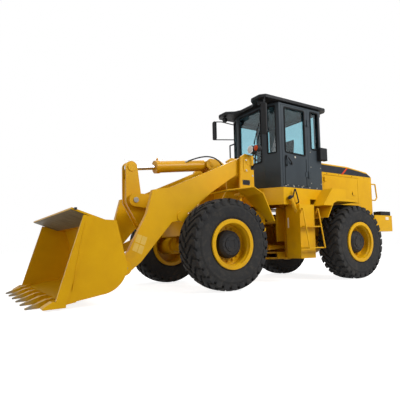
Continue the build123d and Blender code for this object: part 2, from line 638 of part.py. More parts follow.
def tank():
    """The left tank with its filler pipe and its ladder."""
    box = sheet([
        (TANK_REAR, TANK_IN), (TANK_REAR, TANK_OUT), (TANK_FRONT, TANK_OUT), (TANK_FRONT, 670),
        (-200, 550), (-280, TANK_IN),
    ], TANK_LOW, TANK_TOP)
    mouth = (TANK_FRONT + FILLER_LEAN, FILLER_Y, TANK_TOP + 100)
    root = (TANK_FRONT - 40, FILLER_Y, TANK_TOP - 150)
    filler = bar(root, mouth, FILLER_R) + bar(toward(mouth, root, 34), mouth, FILLER_R + 7)
    ladder = None
    for x in (TANK_FRONT - 15, TANK_REAR - 35):
        one = rail([(x, TANK_OUT, 1160), (x, TANK_OUT + 30, 1232), (x, TANK_OUT + 58, 1232),
                    (x, TANK_OUT + 172, STEP_LOW), (x, TANK_OUT + 60, STEP_LOW), (x + 8, TANK_OUT - 4, STEP_LOW)],
                   LADDER_R)
        ladder = one if ladder is None else ladder + one
    for z, y in ((STEP_LOW, TANK_OUT + 105), (STEP_HIGH, TANK_OUT + 62)):
        ladder += block(TANK_REAR - 35, TANK_FRONT - 15, y - 42, y + 48, z - 8, z + 8)
    return box + filler + ladder


def wall(points, x0, x1):
    """An outline of (y, z) points, from x0 to x1."""
    line = Polyline(*[(x0, y, z) for y, z in points], close=True)
    return extrude(make_face(line), amount=x1 - x0, dir=(1, 0, 0))


def rear_fenders():
    """Bent plates over the front of the rear wheels, with a boxed ledge level with the deck."""
    sheet_line = [(-640, 1090), (-800, 1345), (-900, 1385), (FENDER_END, 1385), (FENDER_END, FENDER_TOP),
                  (-896, FENDER_TOP), (-790, 1356), (-628, 1096)]
    plate = slab(sheet_line, HOOD_HALF - 60, LEDGE_OUT)
    ledge = slab([(-530, 1300), (-775, DECK_TOP), (LEDGE_REAR, DECK_TOP), (LEDGE_REAR, 1430), (FENDER_END, FENDER_TOP),
                  (-896, FENDER_TOP), (-790, 1356), (-755, 1300)], DECK_HALF, LEDGE_OUT)
    return both(plate + ledge)


def cab_plan(inset=0):
    """Plan of the cab: two sides, a rear wall, two corner panels and a front."""
    half, front_half = CAB_HALF - inset, CAB_FRONT_HALF - inset * 0.6
    front = CAB_FRONT - inset
    return [(front, -front_half), (front, front_half), (-inset * 0.6, half), (CAB_REAR + inset, half),
            (CAB_REAR + inset, -half), (-inset * 0.6, -half)]


def corner_plate(grow, thick):
    """A plate in the left corner panel, grown by a margin and centred in the wall."""
    a, b = (CAB_FRONT, CAB_FRONT_HALF), (0, CAB_HALF)
    span = hypot(b[0] - a[0], b[1] - a[1])
    ux, uy = (b[0] - a[0]) / span, (b[1] - a[1]) / span
    nx, ny = uy, -ux
    if nx < 0:
        nx, ny = -nx, -ny
    middle = ((a[0] + b[0]) / 2 - nx * CAB_WALL / 2, (a[1] + b[1]) / 2 - ny * CAB_WALL / 2)
    w = span / 2 - 65 + grow
    pts = []
    for s, t in ((-1, -1), (1, -1), (1, 1), (-1, 1)):
        pts.append((middle[0] + ux * w * s + nx * thick / 2 * t, middle[1] + uy * w * s + ny * thick / 2 * t))
    return sheet(pts, SILL_Z + 10 - grow, WINDOW_TOP - 10 + grow)


def window_cuts(grow, thick):
    """The plates that fill or cut each fixed window."""
    low, high = SILL_Z - grow, WINDOW_TOP + grow
    mid = CAB_WALL / 2
    front = block(CAB_FRONT - mid - thick / 2, CAB_FRONT - mid + thick / 2,
                  -CAB_FRONT_HALF + 70 - grow, CAB_FRONT_HALF - 70 + grow, 2120 - grow, high)
    back = block(CAB_REAR + mid - thick / 2, CAB_REAR + mid + thick / 2,
                 -CAB_HALF + 110 - grow, CAB_HALF - 110 + grow, low, high)
    side = block(-1000 - grow, -780 + grow, CAB_HALF - mid - thick / 2, CAB_HALF - mid + thick / 2,
                 2380 - grow, high)
    return front + back + both(side) + both(corner_plate(grow, thick))


def door_solid(gap):
    return block(DOOR_REAR + gap, DOOR_FRONT - gap, CAB_HALF - CAB_WALL, CAB_HALF, DOOR_LOW + gap, DOOR_TOP - gap)


def door_window(grow, thick):
    mid = CAB_HALF - CAB_WALL / 2
    high = DOOR_TOP - 35 + grow
    return slab([(-630 - grow, SILL_Z - 5 - grow), (-120 + grow, SILL_Z + 20 - grow), (-120 + grow, high),
                 (-630 - grow, high)], mid - thick / 2, mid + thick / 2)


def cab_shell():
    """Walls, pillars and floor in one, with the windows and door ways cut."""
    outer = sheet(cab_plan(), CAB_FLOOR, CAB_TOP)
    room = sheet(cab_plan(CAB_WALL), CAB_FLOOR + 40, CAB_TOP + 10)
    ways = both(block(DOOR_REAR, DOOR_FRONT, CAB_HALF - CAB_WALL - 10, CAB_HALF + 10, DOOR_LOW, DOOR_TOP))
    hinges = both(door_hinge(DOOR_REAR + 12, CAB_HALF + 14, -1, CAB_HINGES, 45))
    return outer - room - window_cuts(0, 200) - ways + hinges


def door_hinge(x, y, inward, levels, reach):
    """Pins for a door's knuckles, each held by two leaves against the wall beside the door."""
    body = None
    for z in levels:
        leaves = None
        for low in (z - reach - 14, z + reach + 2):
            leaf = post(x, y, 13, low, low + 12) + block(x, x + inward * 70, y - 14, y - 6, low, low + 12)
            leaves = leaf if leaves is None else leaves + leaf
        hinge = leaves + post(x, y, HINGE_ROD_R, z - reach - 14, z + reach + 14)
        body = hinge if body is None else body + hinge
    return body


def door_knuckles(x, y, outward, levels, reach):
    """The door's own halves of the hinges, bored for the pins."""
    body = None
    for z in levels:
        knuckle = post(x, y, 13, z - reach, z + reach) + block(x, x + outward * 80, y - 14, y - 6, z - reach, z + reach)
        knuckle -= post(x, y, HINGE_ROD_R + SEAT_GAP, z - reach - 1, z + reach + 1)
        body = knuckle if body is None else body + knuckle
    return body


def cab_door():
    panel = door_solid(DOOR_GAP) - door_window(0, 200)
    handle = block(-150, -130, CAB_HALF, CAB_HALF + 40, 2010, 2180) - block(-160, -120, CAB_HALF, CAB_HALF + 22, 2040, 2150)
    knuckles = door_knuckles(DOOR_REAR + 12, CAB_HALF + 14, 1, CAB_HINGES, 45)
    return panel + handle + knuckles


def cab_roof():
    """A thin roof with two forward ears, a recessed front middle, a rear overhang and a raised middle."""
    left = [(200, 170), (250, 270), (400, 380), (400, 600), (320, 690), (-1170, 690), (-1240, 610)]
    outline = left + [(x, -y) for x, y in reversed(left)]
    plan = make_face(Polyline(*[(x, y, ROOF_LOW) for x, y in outline], close=True))
    top = extrude(fillet(plan.vertices(), 45), amount=ROOF_T, dir=(0, 0, 1))
    rim_line = top.faces().sort_by(Axis.Z)[-1].edges()
    top = fillet(rim_line, 22)
    crown = sheet([(120, 560), (-1120, 560), (-1120, -560), (120, -560)], ROOF_LOW + ROOF_T, ROOF_LOW + ROOF_T + 22)
    crown = fillet(crown.faces().sort_by(Axis.Z)[-1].edges(), 16)
    under = sheet([(x, y * 0.94) for x, y in cab_plan()], CAB_TOP, ROOF_LOW)
    return top + crown + under


def seat():
    cushion = block(-760, -280, -250, 250, 1980, 2090)
    back = slab([(-760, 2090), (-640, 2090), (-720, 2680), (-830, 2680)], -240, 240)
    base = block(-680, -340, -180, 180, CAB_FLOOR + 40, 1980)
    return cushion + back + base


def steering_column():
    column = bar((-30, 0, CAB_FLOOR + 70), (-160, 0, 2260), 45)
    wheel = Plane(origin=(-170, 0, 2290), z_dir=(-0.35, 0, 1)) * (Cylinder(200, 24) - Cylinder(172, 30))
    spokes = Plane(origin=(-170, 0, 2290), z_dir=(-0.35, 0, 1)) * (Box(350, 30, 14) + Box(30, 350, 14) + Cylinder(45, 60))
    console = slab([(70, CAB_FLOOR + 40), (70, 2090), (0, 2150), (-60, 2090), (-60, CAB_FLOOR + 40)], -230, 230)
    return console + column + wheel + spokes


def mirrors():
    """A long mirror hung from the left front ear of the roof and one in a tube frame on the right."""
    glass = Pos(432, 750, ROOF_LOW - 420) * fillet(Box(26, 120, 520).edges().filter_by(Axis.X), 30)
    near = glass + rail([(330, 660, ROOF_LOW), (330, 660, ROOF_LOW - 100), (432, 750, ROOF_LOW - 100),
                         (432, 750, ROOF_LOW - 180)], 10)
    low, high = ROOF_LOW - 370, ROOF_LOW - 60
    far = Pos(330, -850, (low + high) / 2 + 30) * fillet(Box(30, 110, 380).edges().filter_by(Axis.X), 35)
    frame = rail([(-20, -CAB_HALF, high), (-20, -CAB_HALF - 20, high), (200, -780, high + 60), (330, -850, high + 60),
                  (330, -850, low), (200, -780, low), (-20, -CAB_HALF - 20, low), (-20, -CAB_HALF, low)], 10)
    return near + far + frame


def work_lamps():
    """Round lamps under the roof's corners and a block with its lamp on each side of the tail."""
    lamp = None
    for x, y in ((300, 520), (-1150, 520)):
        body = round_pod(x, y, ROOF_LOW - 52, 44, 70) + post(x, y, 12, ROOF_LOW - 20, ROOF_LOW)
        lamp = body if lamp is None else lamp + body
    rear = block(WEIGHT_REAR + 60, WEIGHT_REAR + 400, 640, 800, WEIGHT_TOP, WEIGHT_TOP + 90)
    return both(lamp) + both(rear)


def intake_box():
    """The cab's air intake, on the left wall at the rear."""
    box = block(CAB_REAR - 85, CAB_REAR + 110, CAB_HALF, CAB_HALF + 85, 2190, 2425)
    return fillet(box.faces().sort_by(Axis.Y)[-1].edges(), 18)


def rail(points, radius):
    """A bent round rail through some points, with a ball at each bend."""
    body = None
    for start, end in zip(points, points[1:]):
        run = bar(start, end, radius)
        body = run if body is None else body + run
    for bend in points[1:-1]:
        body += Pos(*bend) * Sphere(radius)
    return body


def handrails():
    """The rail beside the right front of the cab and the two rails on the tail of the housing."""
    pole = rail([(-20, -DECK_HALF + 40, DECK_TOP), (-20, -DECK_HALF + 40, 2700), (-20, -CAB_HALF, 2700)], 14)
    y, x = HOOD_HALF - 40, HOOD_REAR
    loop = rail([(x, y, 1880), (x - 190, y, 1880), (x - 230, y, 1600), (x - 170, y, 1540), (x, y, 1540)], 14)
    return pole + both(loop)


def hood_outline(inset=0):
    return [(HOOD_FRONT - inset, HOOD_LOW), (HOOD_FRONT - inset, HOOD_TOP - inset), (-1870, HOOD_TOP - 5 - inset),
            (-2500, 2110 - inset), (HOOD_REAR + inset, HOOD_TAIL_TOP - inset), (HOOD_REAR + inset, WEIGHT_TOP),
            (-2290, WEIGHT_TOP), (-2200, HOOD_LOW)]


def hood():
    """A hollow engine housing, open below and at its two side hatches."""
    outer = slab(hood_outline(), -HOOD_HALF, HOOD_HALF)
    long_edges = [e for e in outer.edges() if abs(abs(e.center().Y) - HOOD_HALF) < 1 and e.center().Z > HOOD_TAIL_TOP]
    outer = fillet(long_edges, HOOD_ROUND)
    inner = hood_outline(HOOD_WALL)
    inner[0] = (inner[0][0], HOOD_LOW - 50)
    inner[-1] = (-2210, HOOD_LOW - 50)
    inner[-2] = (-2300, WEIGHT_TOP - 50)
    inner[-3] = (inner[-3][0], WEIGHT_TOP - 50)
    room = slab(inner, -HOOD_HALF + HOOD_WALL, HOOD_HALF - HOOD_WALL)
    hatches = both(block(HATCH_REAR, HATCH_FRONT, HOOD_HALF - HOOD_WALL - 10, HOOD_HALF + 10, HATCH_LOW, HATCH_TOP))
    vent = block(HOOD_REAR - 10, HOOD_REAR + HOOD_WALL + 10, -430, 430, 1330, 1900)
    hinges = both(door_hinge(HATCH_FRONT - 14, HOOD_HALF + 14, 1, HATCH_HINGES, 35))
    return outer - room - hatches - vent + hinges


def hood_door():
    panel = block(HATCH_REAR + DOOR_GAP, HATCH_FRONT - DOOR_GAP, HOOD_HALF - HOOD_WALL, HOOD_HALF, HATCH_LOW + DOOR_GAP,
                  HATCH_TOP - DOOR_GAP)
    latch = block(-2060, -2000, HOOD_HALF, HOOD_HALF + 12, 1600, 1680)
    knuckles = door_knuckles(HATCH_FRONT - 14, HOOD_HALF + 14, -1, HATCH_HINGES, 35)
    return panel + latch + knuckles


def rear_grille():
    frame = block(HOOD_REAR + 2, HOOD_REAR + HOOD_WALL - 2, -430, 430, 1330, 1900)
    cuts = None
    for i in range(8):
        z = 1395 + i * 62
        cut = block(HOOD_REAR - 5, HOOD_REAR + 40, -390, 390, z - 16, z + 16)
        cuts = cut if cuts is None else cuts + cut
    return frame - cuts


def counterweight():
    body = sheet([(WEIGHT_FRONT, -WEIGHT_HALF), (WEIGHT_REAR + 120, -WEIGHT_HALF), (WEIGHT_REAR, -WEIGHT_HALF + 150),
                  (WEIGHT_REAR, WEIGHT_HALF - 150), (WEIGHT_REAR + 120, WEIGHT_HALF), (WEIGHT_FRONT, WEIGHT_HALF)],
                 WEIGHT_LOW, WEIGHT_TOP)
    body = fillet(body.edges().filter_by(Axis.Z), 25)
    room = block(WEIGHT_FRONT + 1, WEIGHT_REAR + 15, -REAR_IN - REAR_T - 0.3, -REAR_IN + 0.3, 700, 1060.3)
    body -= both(room)
    hitch = block(REAR_HITCH - 5, WEIGHT_REAR + 5, -90, 90, 930, 1010) - block(REAR_HITCH - 10, WEIGHT_REAR + 1, -95, 95, 955, 985)
    hole = post(REAR_HITCH + 30, 0, 20, 900, 1040)
    return body + hitch - hole + tow_eye(500) + tow_eye(-500)


def build():
    parts = {}
    parts["rear_frame"] = rear_frame()
    parts["rear_axle"] = axle(-AXLE_X)
    parts["deck"] = deck()
    left = tank()
    parts["tank_left"] = left
    parts["tank_right"] = mirror(left, about=Plane.XZ)
    parts["rear_fenders"] = rear_fenders()
    parts["hood"] = hood()
    parts["rear_grille"] = rear_grille()
    parts["engine_block"] = block(-2250, -1250, -290, 290, 950, 1750)
    parts["counterweight"] = counterweight()
    parts["cab_shell"] = cab_shell()
    parts["cab_roof"] = cab_roof()
    parts["cab_glass"] = window_cuts(-SEAL, GLASS_T)
    parts["seat"] = seat()
    parts["steering_column"] = steering_column()
    parts["mirrors"] = mirrors()
    parts["work_lamps"] = work_lamps()
    parts["intake_box"] = intake_box()
    parts["handrails"] = handrails()
    door, pane = cab_door(), door_window(-SEAL, GLASS_T)
    parts["cab_door_left"] = door
    parts["door_glass_left"] = pane
    parts["cab_door_right"] = mirror(door, about=Plane.XZ)
    parts["door_glass_right"] = mirror(pane, about=Plane.XZ)
    hatch = hood_door()
    parts["hood_door_left"] = hatch
    parts["hood_door_right"] = mirror(hatch, about=Plane.XZ)
    parts["front_frame"] = front_frame()
    parts["boom_pins"] = boom_pins()
    parts["front_axle"] = axle(AXLE_X)
    parts["front_fenders"] = front_fenders()
    parts["headlamps"] = headlamps()
    parts["lift_arms"] = lift_arms()
    parts["rocker_pin"] = pin(ROCKER_PIVOT, PIN_R, -ROCKER_BRACKET_IN - 52, ROCKER_BRACKET_IN + 52)
    parts["rocker"] = rocker()
    parts["link_pin"] = pin(ROCKER_LOW, PIN_R, -ROCKER_HALF - 12, ROCKER_HALF + 12)
    parts["link"] = link()
    parts["bucket_pins"] = bucket_pins()
    parts["bucket"] = bucket()
    parts["lift_barrels"] = lift_barrels()
    parts["lift_rods"] = lift_rods()
    parts["tilt_barrel"] = tilt_barrel()
    parts["tilt_rod"] = tilt_rod()
    barrel, rod = steer_barrel(), steer_rod()
    parts["steer_barrel_left"] = barrel
    parts["steer_barrel_right"] = mirror(barrel, about=Plane.XZ)
    parts["steer_rod_left"] = rod
    parts["steer_rod_right"] = mirror(rod, about=Plane.XZ)
    for end, x in (("front", AXLE_X), ("rear", -AXLE_X)):
        for hand, side in (("left", 1), ("right", -1)):
            place = Pos(x, side * WHEEL_Y, AXLE_Z)
            parts[f"tyre_{end}_{hand}"] = place * tyre()
            parts[f"rim_{end}_{hand}"] = place * rim(side)
    return parts


os.makedirs("parts", exist_ok=True)
for name, shape in build().items():
    export_step(Pos(-X_MIDDLE, 0, 0) * shape, f"parts/{name}.step")
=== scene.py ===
import math

import bmesh
import bpy
from mathutils import Matrix, Vector


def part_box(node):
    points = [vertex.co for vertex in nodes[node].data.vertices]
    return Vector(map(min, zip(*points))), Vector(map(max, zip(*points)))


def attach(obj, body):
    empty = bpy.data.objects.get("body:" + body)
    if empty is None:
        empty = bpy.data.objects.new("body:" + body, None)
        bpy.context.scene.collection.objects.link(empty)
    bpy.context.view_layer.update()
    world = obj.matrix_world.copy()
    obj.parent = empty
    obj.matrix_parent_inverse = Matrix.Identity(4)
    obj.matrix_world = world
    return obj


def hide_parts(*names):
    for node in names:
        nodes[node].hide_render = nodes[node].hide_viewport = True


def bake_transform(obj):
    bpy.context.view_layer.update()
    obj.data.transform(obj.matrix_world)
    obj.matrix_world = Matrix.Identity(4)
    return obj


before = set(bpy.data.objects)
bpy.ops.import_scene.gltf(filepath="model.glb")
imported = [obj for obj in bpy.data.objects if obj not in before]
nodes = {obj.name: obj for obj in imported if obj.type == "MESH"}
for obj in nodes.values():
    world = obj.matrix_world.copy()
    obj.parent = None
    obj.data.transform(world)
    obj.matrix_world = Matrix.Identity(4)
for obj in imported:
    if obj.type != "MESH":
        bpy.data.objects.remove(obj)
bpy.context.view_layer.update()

# The steering pivot is half way between the axles, and lengths below are millimetres from there
FRONT_WHEEL = sum((Vector(c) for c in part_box("tyre_front_left")), Vector()) / 2
REAR_WHEEL = sum((Vector(c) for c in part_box("tyre_rear_left")), Vector()) / 2
PIVOT_X = (FRONT_WHEEL.x + REAR_WHEEL.x) / 2
MM = 0.001


def here(x, y, z):
    """A point given in millimetres from the steering pivot, as metres in the frame."""
    return Vector((PIVOT_X + x * MM, y * MM, z * MM))


# Materials

# Shares and scales of the materials; colours are as they look on a screen, from 0 to 255
SHEEN = 0.14
COAT, COAT_ROUGH = 0.06, 0.12
DRIFT_FROM, DRIFT_TO = 0.35, 0.7
PAINT_SCALE = 2.3
GRAIN_SCALE = 260.0
WORN_LENGTH, WORN_FULLY = 0.15, 0.05
WORN_TOP, WORN_LOW = 0.16, 0.09
DIRT_TOP, GROUND_LINE = 1.1, 0.1
DUST = (104, 86, 58)
TYRE_DUST = (98, 90, 78)
BARE_STEEL = (128, 120, 106)
RAIL_BLACK = (26, 27, 29)
TAIL_RAILS_X = -1500
WEAVE_SCALE = 170.0


def linear(r, g, b):
    """A colour as it looks on a screen, from 0 to 255, as the shader wants it."""
    def channel(value):
        value /= 255
        return value / 12.92 if value <= 0.04045 else ((value + 0.055) / 1.055) ** 2.4
    return (channel(r), channel(g), channel(b), 1.0)


class Shader:
    """A material being built: a principled shader with textures in the object's own space."""

    def __init__(self, name):
        self.material = bpy.data.materials.new(name)
        self.material.use_nodes = True
        self.tree = self.material.node_tree
        self.bsdf = self.tree.nodes["Principled BSDF"]
        self.place = self.tree.nodes.new("ShaderNodeTexCoord").outputs["Object"]

    def node(self, kind, **values):
        made = self.tree.nodes.new(kind)
        for key, value in values.items():
            setattr(made, key, value)
        return made

    def link(self, a, b):
        self.tree.links.new(a, b)

    def noise(self, scale, detail=4.0, rough=0.55):
        made = self.node("ShaderNodeTexNoise")
        made.inputs["Scale"].default_value = scale
        made.inputs["Detail"].default_value = detail
        made.inputs["Roughness"].default_value = rough
        self.link(self.place, made.inputs["Vector"])
        return made.outputs["Fac"]

    def spread(self, value, low, high, to_low=0.0, to_high=1.0):
        made = self.node("ShaderNodeMapRange")
        for key, number in zip(("From Min", "From Max", "To Min", "To Max"), (low, high, to_low, to_high)):
            made.inputs[key].default_value = number
        self.link(value, made.inputs["Value"])
        return made.outputs["Result"]

    def mix(self, factor, a, b):
        made = self.node("ShaderNodeMix", data_type="RGBA")
        for socket, value in ((made.inputs[6], a), (made.inputs[7], b)):
            if isinstance(value, tuple):
                socket.default_value = value
            else:
                self.link(value, socket)
        self.link(factor, made.inputs[0])
        return made.outputs[2]

    def drift(self, scale, colour, shade):
        """Two close colours that run slowly into each other."""
        return self.mix(self.spread(self.noise(scale), DRIFT_FROM, DRIFT_TO), colour, shade)

    def maths(self, a, b, operation="MULTIPLY"):
        made = self.node("ShaderNodeMath", operation=operation)
        for socket, value in ((made.inputs[0], a), (made.inputs[1], b)):
            if isinstance(value, (int, float)):
                socket.default_value = value
            else:
                self.link(value, socket)
        return made.outputs[0]

    def along(self, axis):
        """How far a point lies along one axis of the object's space."""
        split = self.node("ShaderNodeSeparateXYZ")
        self.link(self.place, split.inputs[0])
        return split.outputs[axis]

    def bump(self, value, strength, distance=0.002):
        made = self.node("ShaderNodeBump")
        made.inputs["Strength"].default_value = strength
        made.inputs["Distance"].default_value = distance
        self.link(value, made.inputs["Height"])
        self.link(made.outputs["Normal"], self.bsdf.inputs["Normal"])


def paint(name, colour, shade, rough=0.34, dirt=0.35):
    """Sprayed paint: slow colour drift, orange peel, and dust that grows towards the ground."""
    s = Shader(name)
    body = s.drift(PAINT_SCALE, colour, shade)
    low = s.spread(s.along("Z"), DIRT_TOP, GROUND_LINE)
    patch = s.spread(s.noise(7.0, 8.0, 0.65), 0.42, 0.72)
    dust = s.maths(s.maths(low, patch), dirt)
    s.link(s.mix(dust, body, linear(*DUST)), s.bsdf.inputs["Base Color"])
    s.link(s.spread(dust, 0.0, 1.0, rough, 0.85), s.bsdf.inputs["Roughness"])
    s.bsdf.inputs["Specular IOR Level"].default_value = SHEEN
    s.bsdf.inputs["Coat Weight"].default_value = COAT
    s.bsdf.inputs["Coat Roughness"].default_value = COAT_ROUGH
    s.bump(s.noise(GRAIN_SCALE, 2.0), 0.06, 0.0006)
    return s.material


def plain(name, colour, shade, rough, metal=0.0, scale=30.0, bump=0.2, distance=0.0008):
    """Moulded plastic, rubber or bare metal with a fine uneven surface."""
    s = Shader(name)
    s.link(s.drift(scale * 0.3, colour, shade), s.bsdf.inputs["Base Color"])
    s.link(s.spread(s.noise(scale), 0.3, 0.75, rough - 0.07, rough + 0.1), s.bsdf.inputs["Roughness"])
    s.bsdf.inputs["Metallic"].default_value = metal
    s.bsdf.inputs["Specular IOR Level"].default_value = SHEEN
    s.bump(s.noise(scale * 6), bump, distance)
    return s.material


def tyre_rubber():
    """Rubber with patches of dust and fine marks round it."""
    s = Shader("tyre_rubber")
    base = s.drift(3.0, linear(40, 40, 41), linear(50, 49, 48))
    dust = s.maths(s.spread(s.noise(16.0, 8.0, 0.7), 0.5, 0.75), 0.28)
    s.link(s.mix(dust, base, linear(*TYRE_DUST)), s.bsdf.inputs["Base Color"])
    s.bsdf.inputs["Roughness"].default_value = 0.78
    s.bsdf.inputs["Specular IOR Level"].default_value = SHEEN
    s.bump(s.noise(120.0, 6.0), 0.35, 0.0015)
    return s.material


def worn_bucket(colour, shade):
    """Bucket paint that is scraped to steel towards the teeth."""
    s = Shader("bucket_paint")
    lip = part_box("bucket")[1].x
    near = s.spread(s.along("X"), lip - WORN_LENGTH, lip - WORN_FULLY)
    low = s.spread(s.along("Z"), WORN_TOP, WORN_LOW)
    scratch = s.spread(s.noise(14.0, 8.0, 0.7), 0.30, 0.50)
    steel = s.maths(s.maths(near, low), scratch)
    body = s.drift(PAINT_SCALE, colour, shade)
    s.link(s.mix(steel, body, linear(*BARE_STEEL)), s.bsdf.inputs["Base Color"])
    s.link(s.spread(steel, 0.0, 1.0, 0.38, 0.5), s.bsdf.inputs["Roughness"])
    s.link(s.maths(steel, 0.6), s.bsdf.inputs["Metallic"])
    s.bsdf.inputs["Specular IOR Level"].default_value = SHEEN
    s.bump(s.noise(90.0, 5.0), 0.08, 0.0012)
    return s.material


def rail_paint(colour, shade):
    """Rails that are yellow on the tail and black beside the cab."""
    s = Shader("rail_paint")
    tail = s.maths(s.along("X"), here(TAIL_RAILS_X, 0, 0).x, "LESS_THAN")
    body = s.drift(PAINT_SCALE, colour, shade)
    s.link(s.mix(tail, linear(*RAIL_BLACK), body), s.bsdf.inputs["Base Color"])
    s.link(s.spread(s.noise(60.0), 0.3, 0.75, 0.36, 0.5), s.bsdf.inputs["Roughness"])
    s.bsdf.inputs["Specular IOR Level"].default_value = SHEEN
    s.bump(s.noise(GRAIN_SCALE, 2.0), 0.06, 0.0006)
    return s.material


def glass(name, tint):
    """Clear cab glass with a cool tint and a trace of haze."""
    s = Shader(name)
    s.bsdf.inputs["Transmission Weight"].default_value = 1.0
    s.bsdf.inputs["Base Color"].default_value = tint
    s.bsdf.inputs["IOR"].default_value = 1.45
    s.link(s.spread(s.noise(5.0, 6.0), 0.4, 0.8, 0.01, 0.06), s.bsdf.inputs["Roughness"])
    return s.material


def cloth(name, colour, shade):
    """Woven seat cloth."""
    s = Shader(name)
    waves = []
    for direction in ("X", "Y", "Z"):
        wave = s.node("ShaderNodeTexWave", bands_direction=direction)
        wave.inputs["Scale"].default_value = WEAVE_SCALE
        s.link(s.place, wave.inputs["Vector"])
        waves.append(wave.outputs["Fac"])
    weave = s.maths(s.maths(waves[0], waves[1], "ADD"), waves[2], "ADD")
    s.link(s.mix(s.spread(weave, 0.6, 2.4), colour, shade), s.bsdf.inputs["Base Color"])
    s.bsdf.inputs["Roughness"].default_value = 0.9
    s.bsdf.inputs["Sheen Weight"].default_value = 0.35
    s.bump(weave, 0.4, 0.0008)
    return s.material


YELLOW = linear(216, 164, 8)
YELLOW_SHADE = linear(206, 153, 7)
CAB_GREY = linear(54, 62, 68)
CAB_GREY_SHADE = linear(47, 54, 60)
M = {
    "yellow": paint("yellow_paint", YELLOW, YELLOW_SHADE),
    "cylinder": paint("cylinder_paint", linear(208, 152, 14), linear(196, 140, 12), 0.3),
    "grey": paint("cab_grey_paint", CAB_GREY, CAB_GREY_SHADE, 0.42, 0.2),
    "dark": paint("dark_paint", linear(38, 38, 40), linear(30, 30, 32), 0.5, 0.3),
    "black": plain("black_plastic", linear(24, 25, 27), linear(33, 34, 36), 0.5),
    "seal": plain("window_rubber", linear(17, 18, 19), linear(24, 25, 26), 0.7),
    "tyre": tyre_rubber(),
    "bucket": worn_bucket(YELLOW, YELLOW_SHADE),
    "rail": rail_paint(YELLOW, YELLOW_SHADE),
    # Khaki grey for the underside of the bucket's guard: worn paint, plus painted shade of the underside
    # that faces the ground
    "worn_and_painted_shade": plain("worn_steel_painted_shade", linear(120, 113, 92), linear(98, 92, 74), 0.55, 0.2, 22.0, 0.3),
    "plate": plain("blank_plate", linear(20, 22, 24), linear(28, 30, 32), 0.4, 0.0, 40.0, 0.05),
    "label": plain("blank_label", linear(222, 186, 88), linear(212, 176, 78), 0.5, 0.0, 40.0, 0.05),
    "cream": plain("reflector_strip", linear(236, 226, 206), linear(222, 210, 190), 0.25, 0.0, 60.0, 0.1),
    "shell": plain("lamp_bowl", linear(226, 228, 230), linear(206, 208, 210), 0.1, 1.0, 30.0, 0.0),
    "glass": glass("window_glass", (0.50, 0.73, 0.79, 1.0)),
    "chrome": plain("rod_chrome", linear(214, 214, 216), linear(200, 200, 204), 0.12, 1.0, 40.0, 0.02),
    "steel": plain("pin_steel", linear(140, 137, 130), linear(112, 108, 100), 0.42, 1.0, 60.0, 0.2),
    "zinc": plain("bolt_zinc", linear(176, 172, 160), linear(150, 146, 134), 0.38, 1.0, 80.0, 0.1),
    "hose": plain("hose_rubber", linear(22, 22, 23), linear(30, 30, 31), 0.55, 0.0, 60.0, 0.3),
    "seat": cloth("seat_cloth", linear(30, 31, 34), linear(44, 45, 49)),
    "lens": plain("lamp_lens", linear(222, 224, 222), linear(198, 202, 202), 0.12, 0.0, 50.0, 0.3),
    "orange": plain("indicator_lens", linear(196, 74, 20), linear(176, 60, 16), 0.2, 0.0, 50.0, 0.3),
    "red": plain("tail_lens", linear(168, 22, 16), linear(146, 16, 12), 0.2, 0.0, 50.0, 0.3),
    "stripe": plain("stripe_film", linear(34, 36, 42), linear(42, 44, 50), 0.35, 0.0, 40.0, 0.05),
    "slash": plain("slash_film", linear(206, 66, 22), linear(192, 56, 18), 0.35, 0.0, 40.0, 0.05),
    "mirror": plain("mirror_silver", linear(190, 196, 200), linear(180, 188, 194), 0.05, 1.0, 20.0, 0.0),
}

SHOWN = {
    "yellow": ("rear_axle", "rear_frame", "rear_fenders", "hood", "counterweight", "front_frame",
               "front_axle", "front_fenders", "lift_arms", "rocker", "link", "hood_door_left",
               "hood_door_right", "deck", "tank_left", "tank_right", "rim_front_left", "rim_front_right",
               "rim_rear_left", "rim_rear_right"),
    "cylinder": ("lift_barrels", "tilt_barrel", "steer_barrel_left", "steer_barrel_right"),
    "chrome": ("lift_rods", "tilt_rod", "steer_rod_left", "steer_rod_right"),
    "steel": ("boom_pins", "rocker_pin", "link_pin", "bucket_pins"),
    "grey": ("cab_shell", "cab_door_left", "cab_door_right"),
    "dark": ("engine_block", "rear_grille"),
    "black": ("cab_roof", "mirrors", "work_lamps", "intake_box", "steering_column", "headlamps"),
    "rail": ("handrails",),
    "glass": ("cab_glass", "door_glass_left", "door_glass_right"),
    "bucket": ("bucket",),
}
for key, names in SHOWN.items():
    for name in names:
        nodes[name].data.materials.clear()
        nodes[name].data.materials.append(M[key])


# Shape helpers: bmesh forms in the frame's metres, at places given through here()

CORNERS = ((-1, -1), (1, -1), (1, 1), (-1, 1))
HEXAGON = 6
# Metres: a film's thickness, and the radius of a bent bar and of the ball at each bend
FILM = 0.0006
BAR_R, BALL_R = 0.011, 0.0112
# Metres: one ripple of a weld bead, and the share of its radius that the low ripples have
RIPPLE, RIPPLE_LOW = 0.012, 0.82


def add(name, bm, key, body, smooth=35.0, bevel=0.0):
    """Turn a bmesh into a piece, on a body if one is named."""
    bmesh.ops.remove_doubles(bm, verts=bm.verts, dist=1e-6)
    bmesh.ops.recalc_face_normals(bm, faces=bm.faces)
    mesh = bpy.data.meshes.new(name)
    bm.to_mesh(mesh)
    bm.free()
    piece = bpy.data.objects.new(name, mesh)
    bpy.context.scene.collection.objects.link(piece)
    keys = key if isinstance(key, (list, tuple)) else (key,)
    for one in keys:
        mesh.materials.append(M[one])
    if bevel:
        modifier = piece.modifiers.new("edge", "BEVEL")
        modifier.width = bevel
        modifier.segments = 2
        modifier.limit_method = "ANGLE"
    if smooth:
        mesh.shade_smooth()
        mesh.set_sharp_from_angle(angle=math.radians(smooth))
    if body:
        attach(piece, body)
    return piece


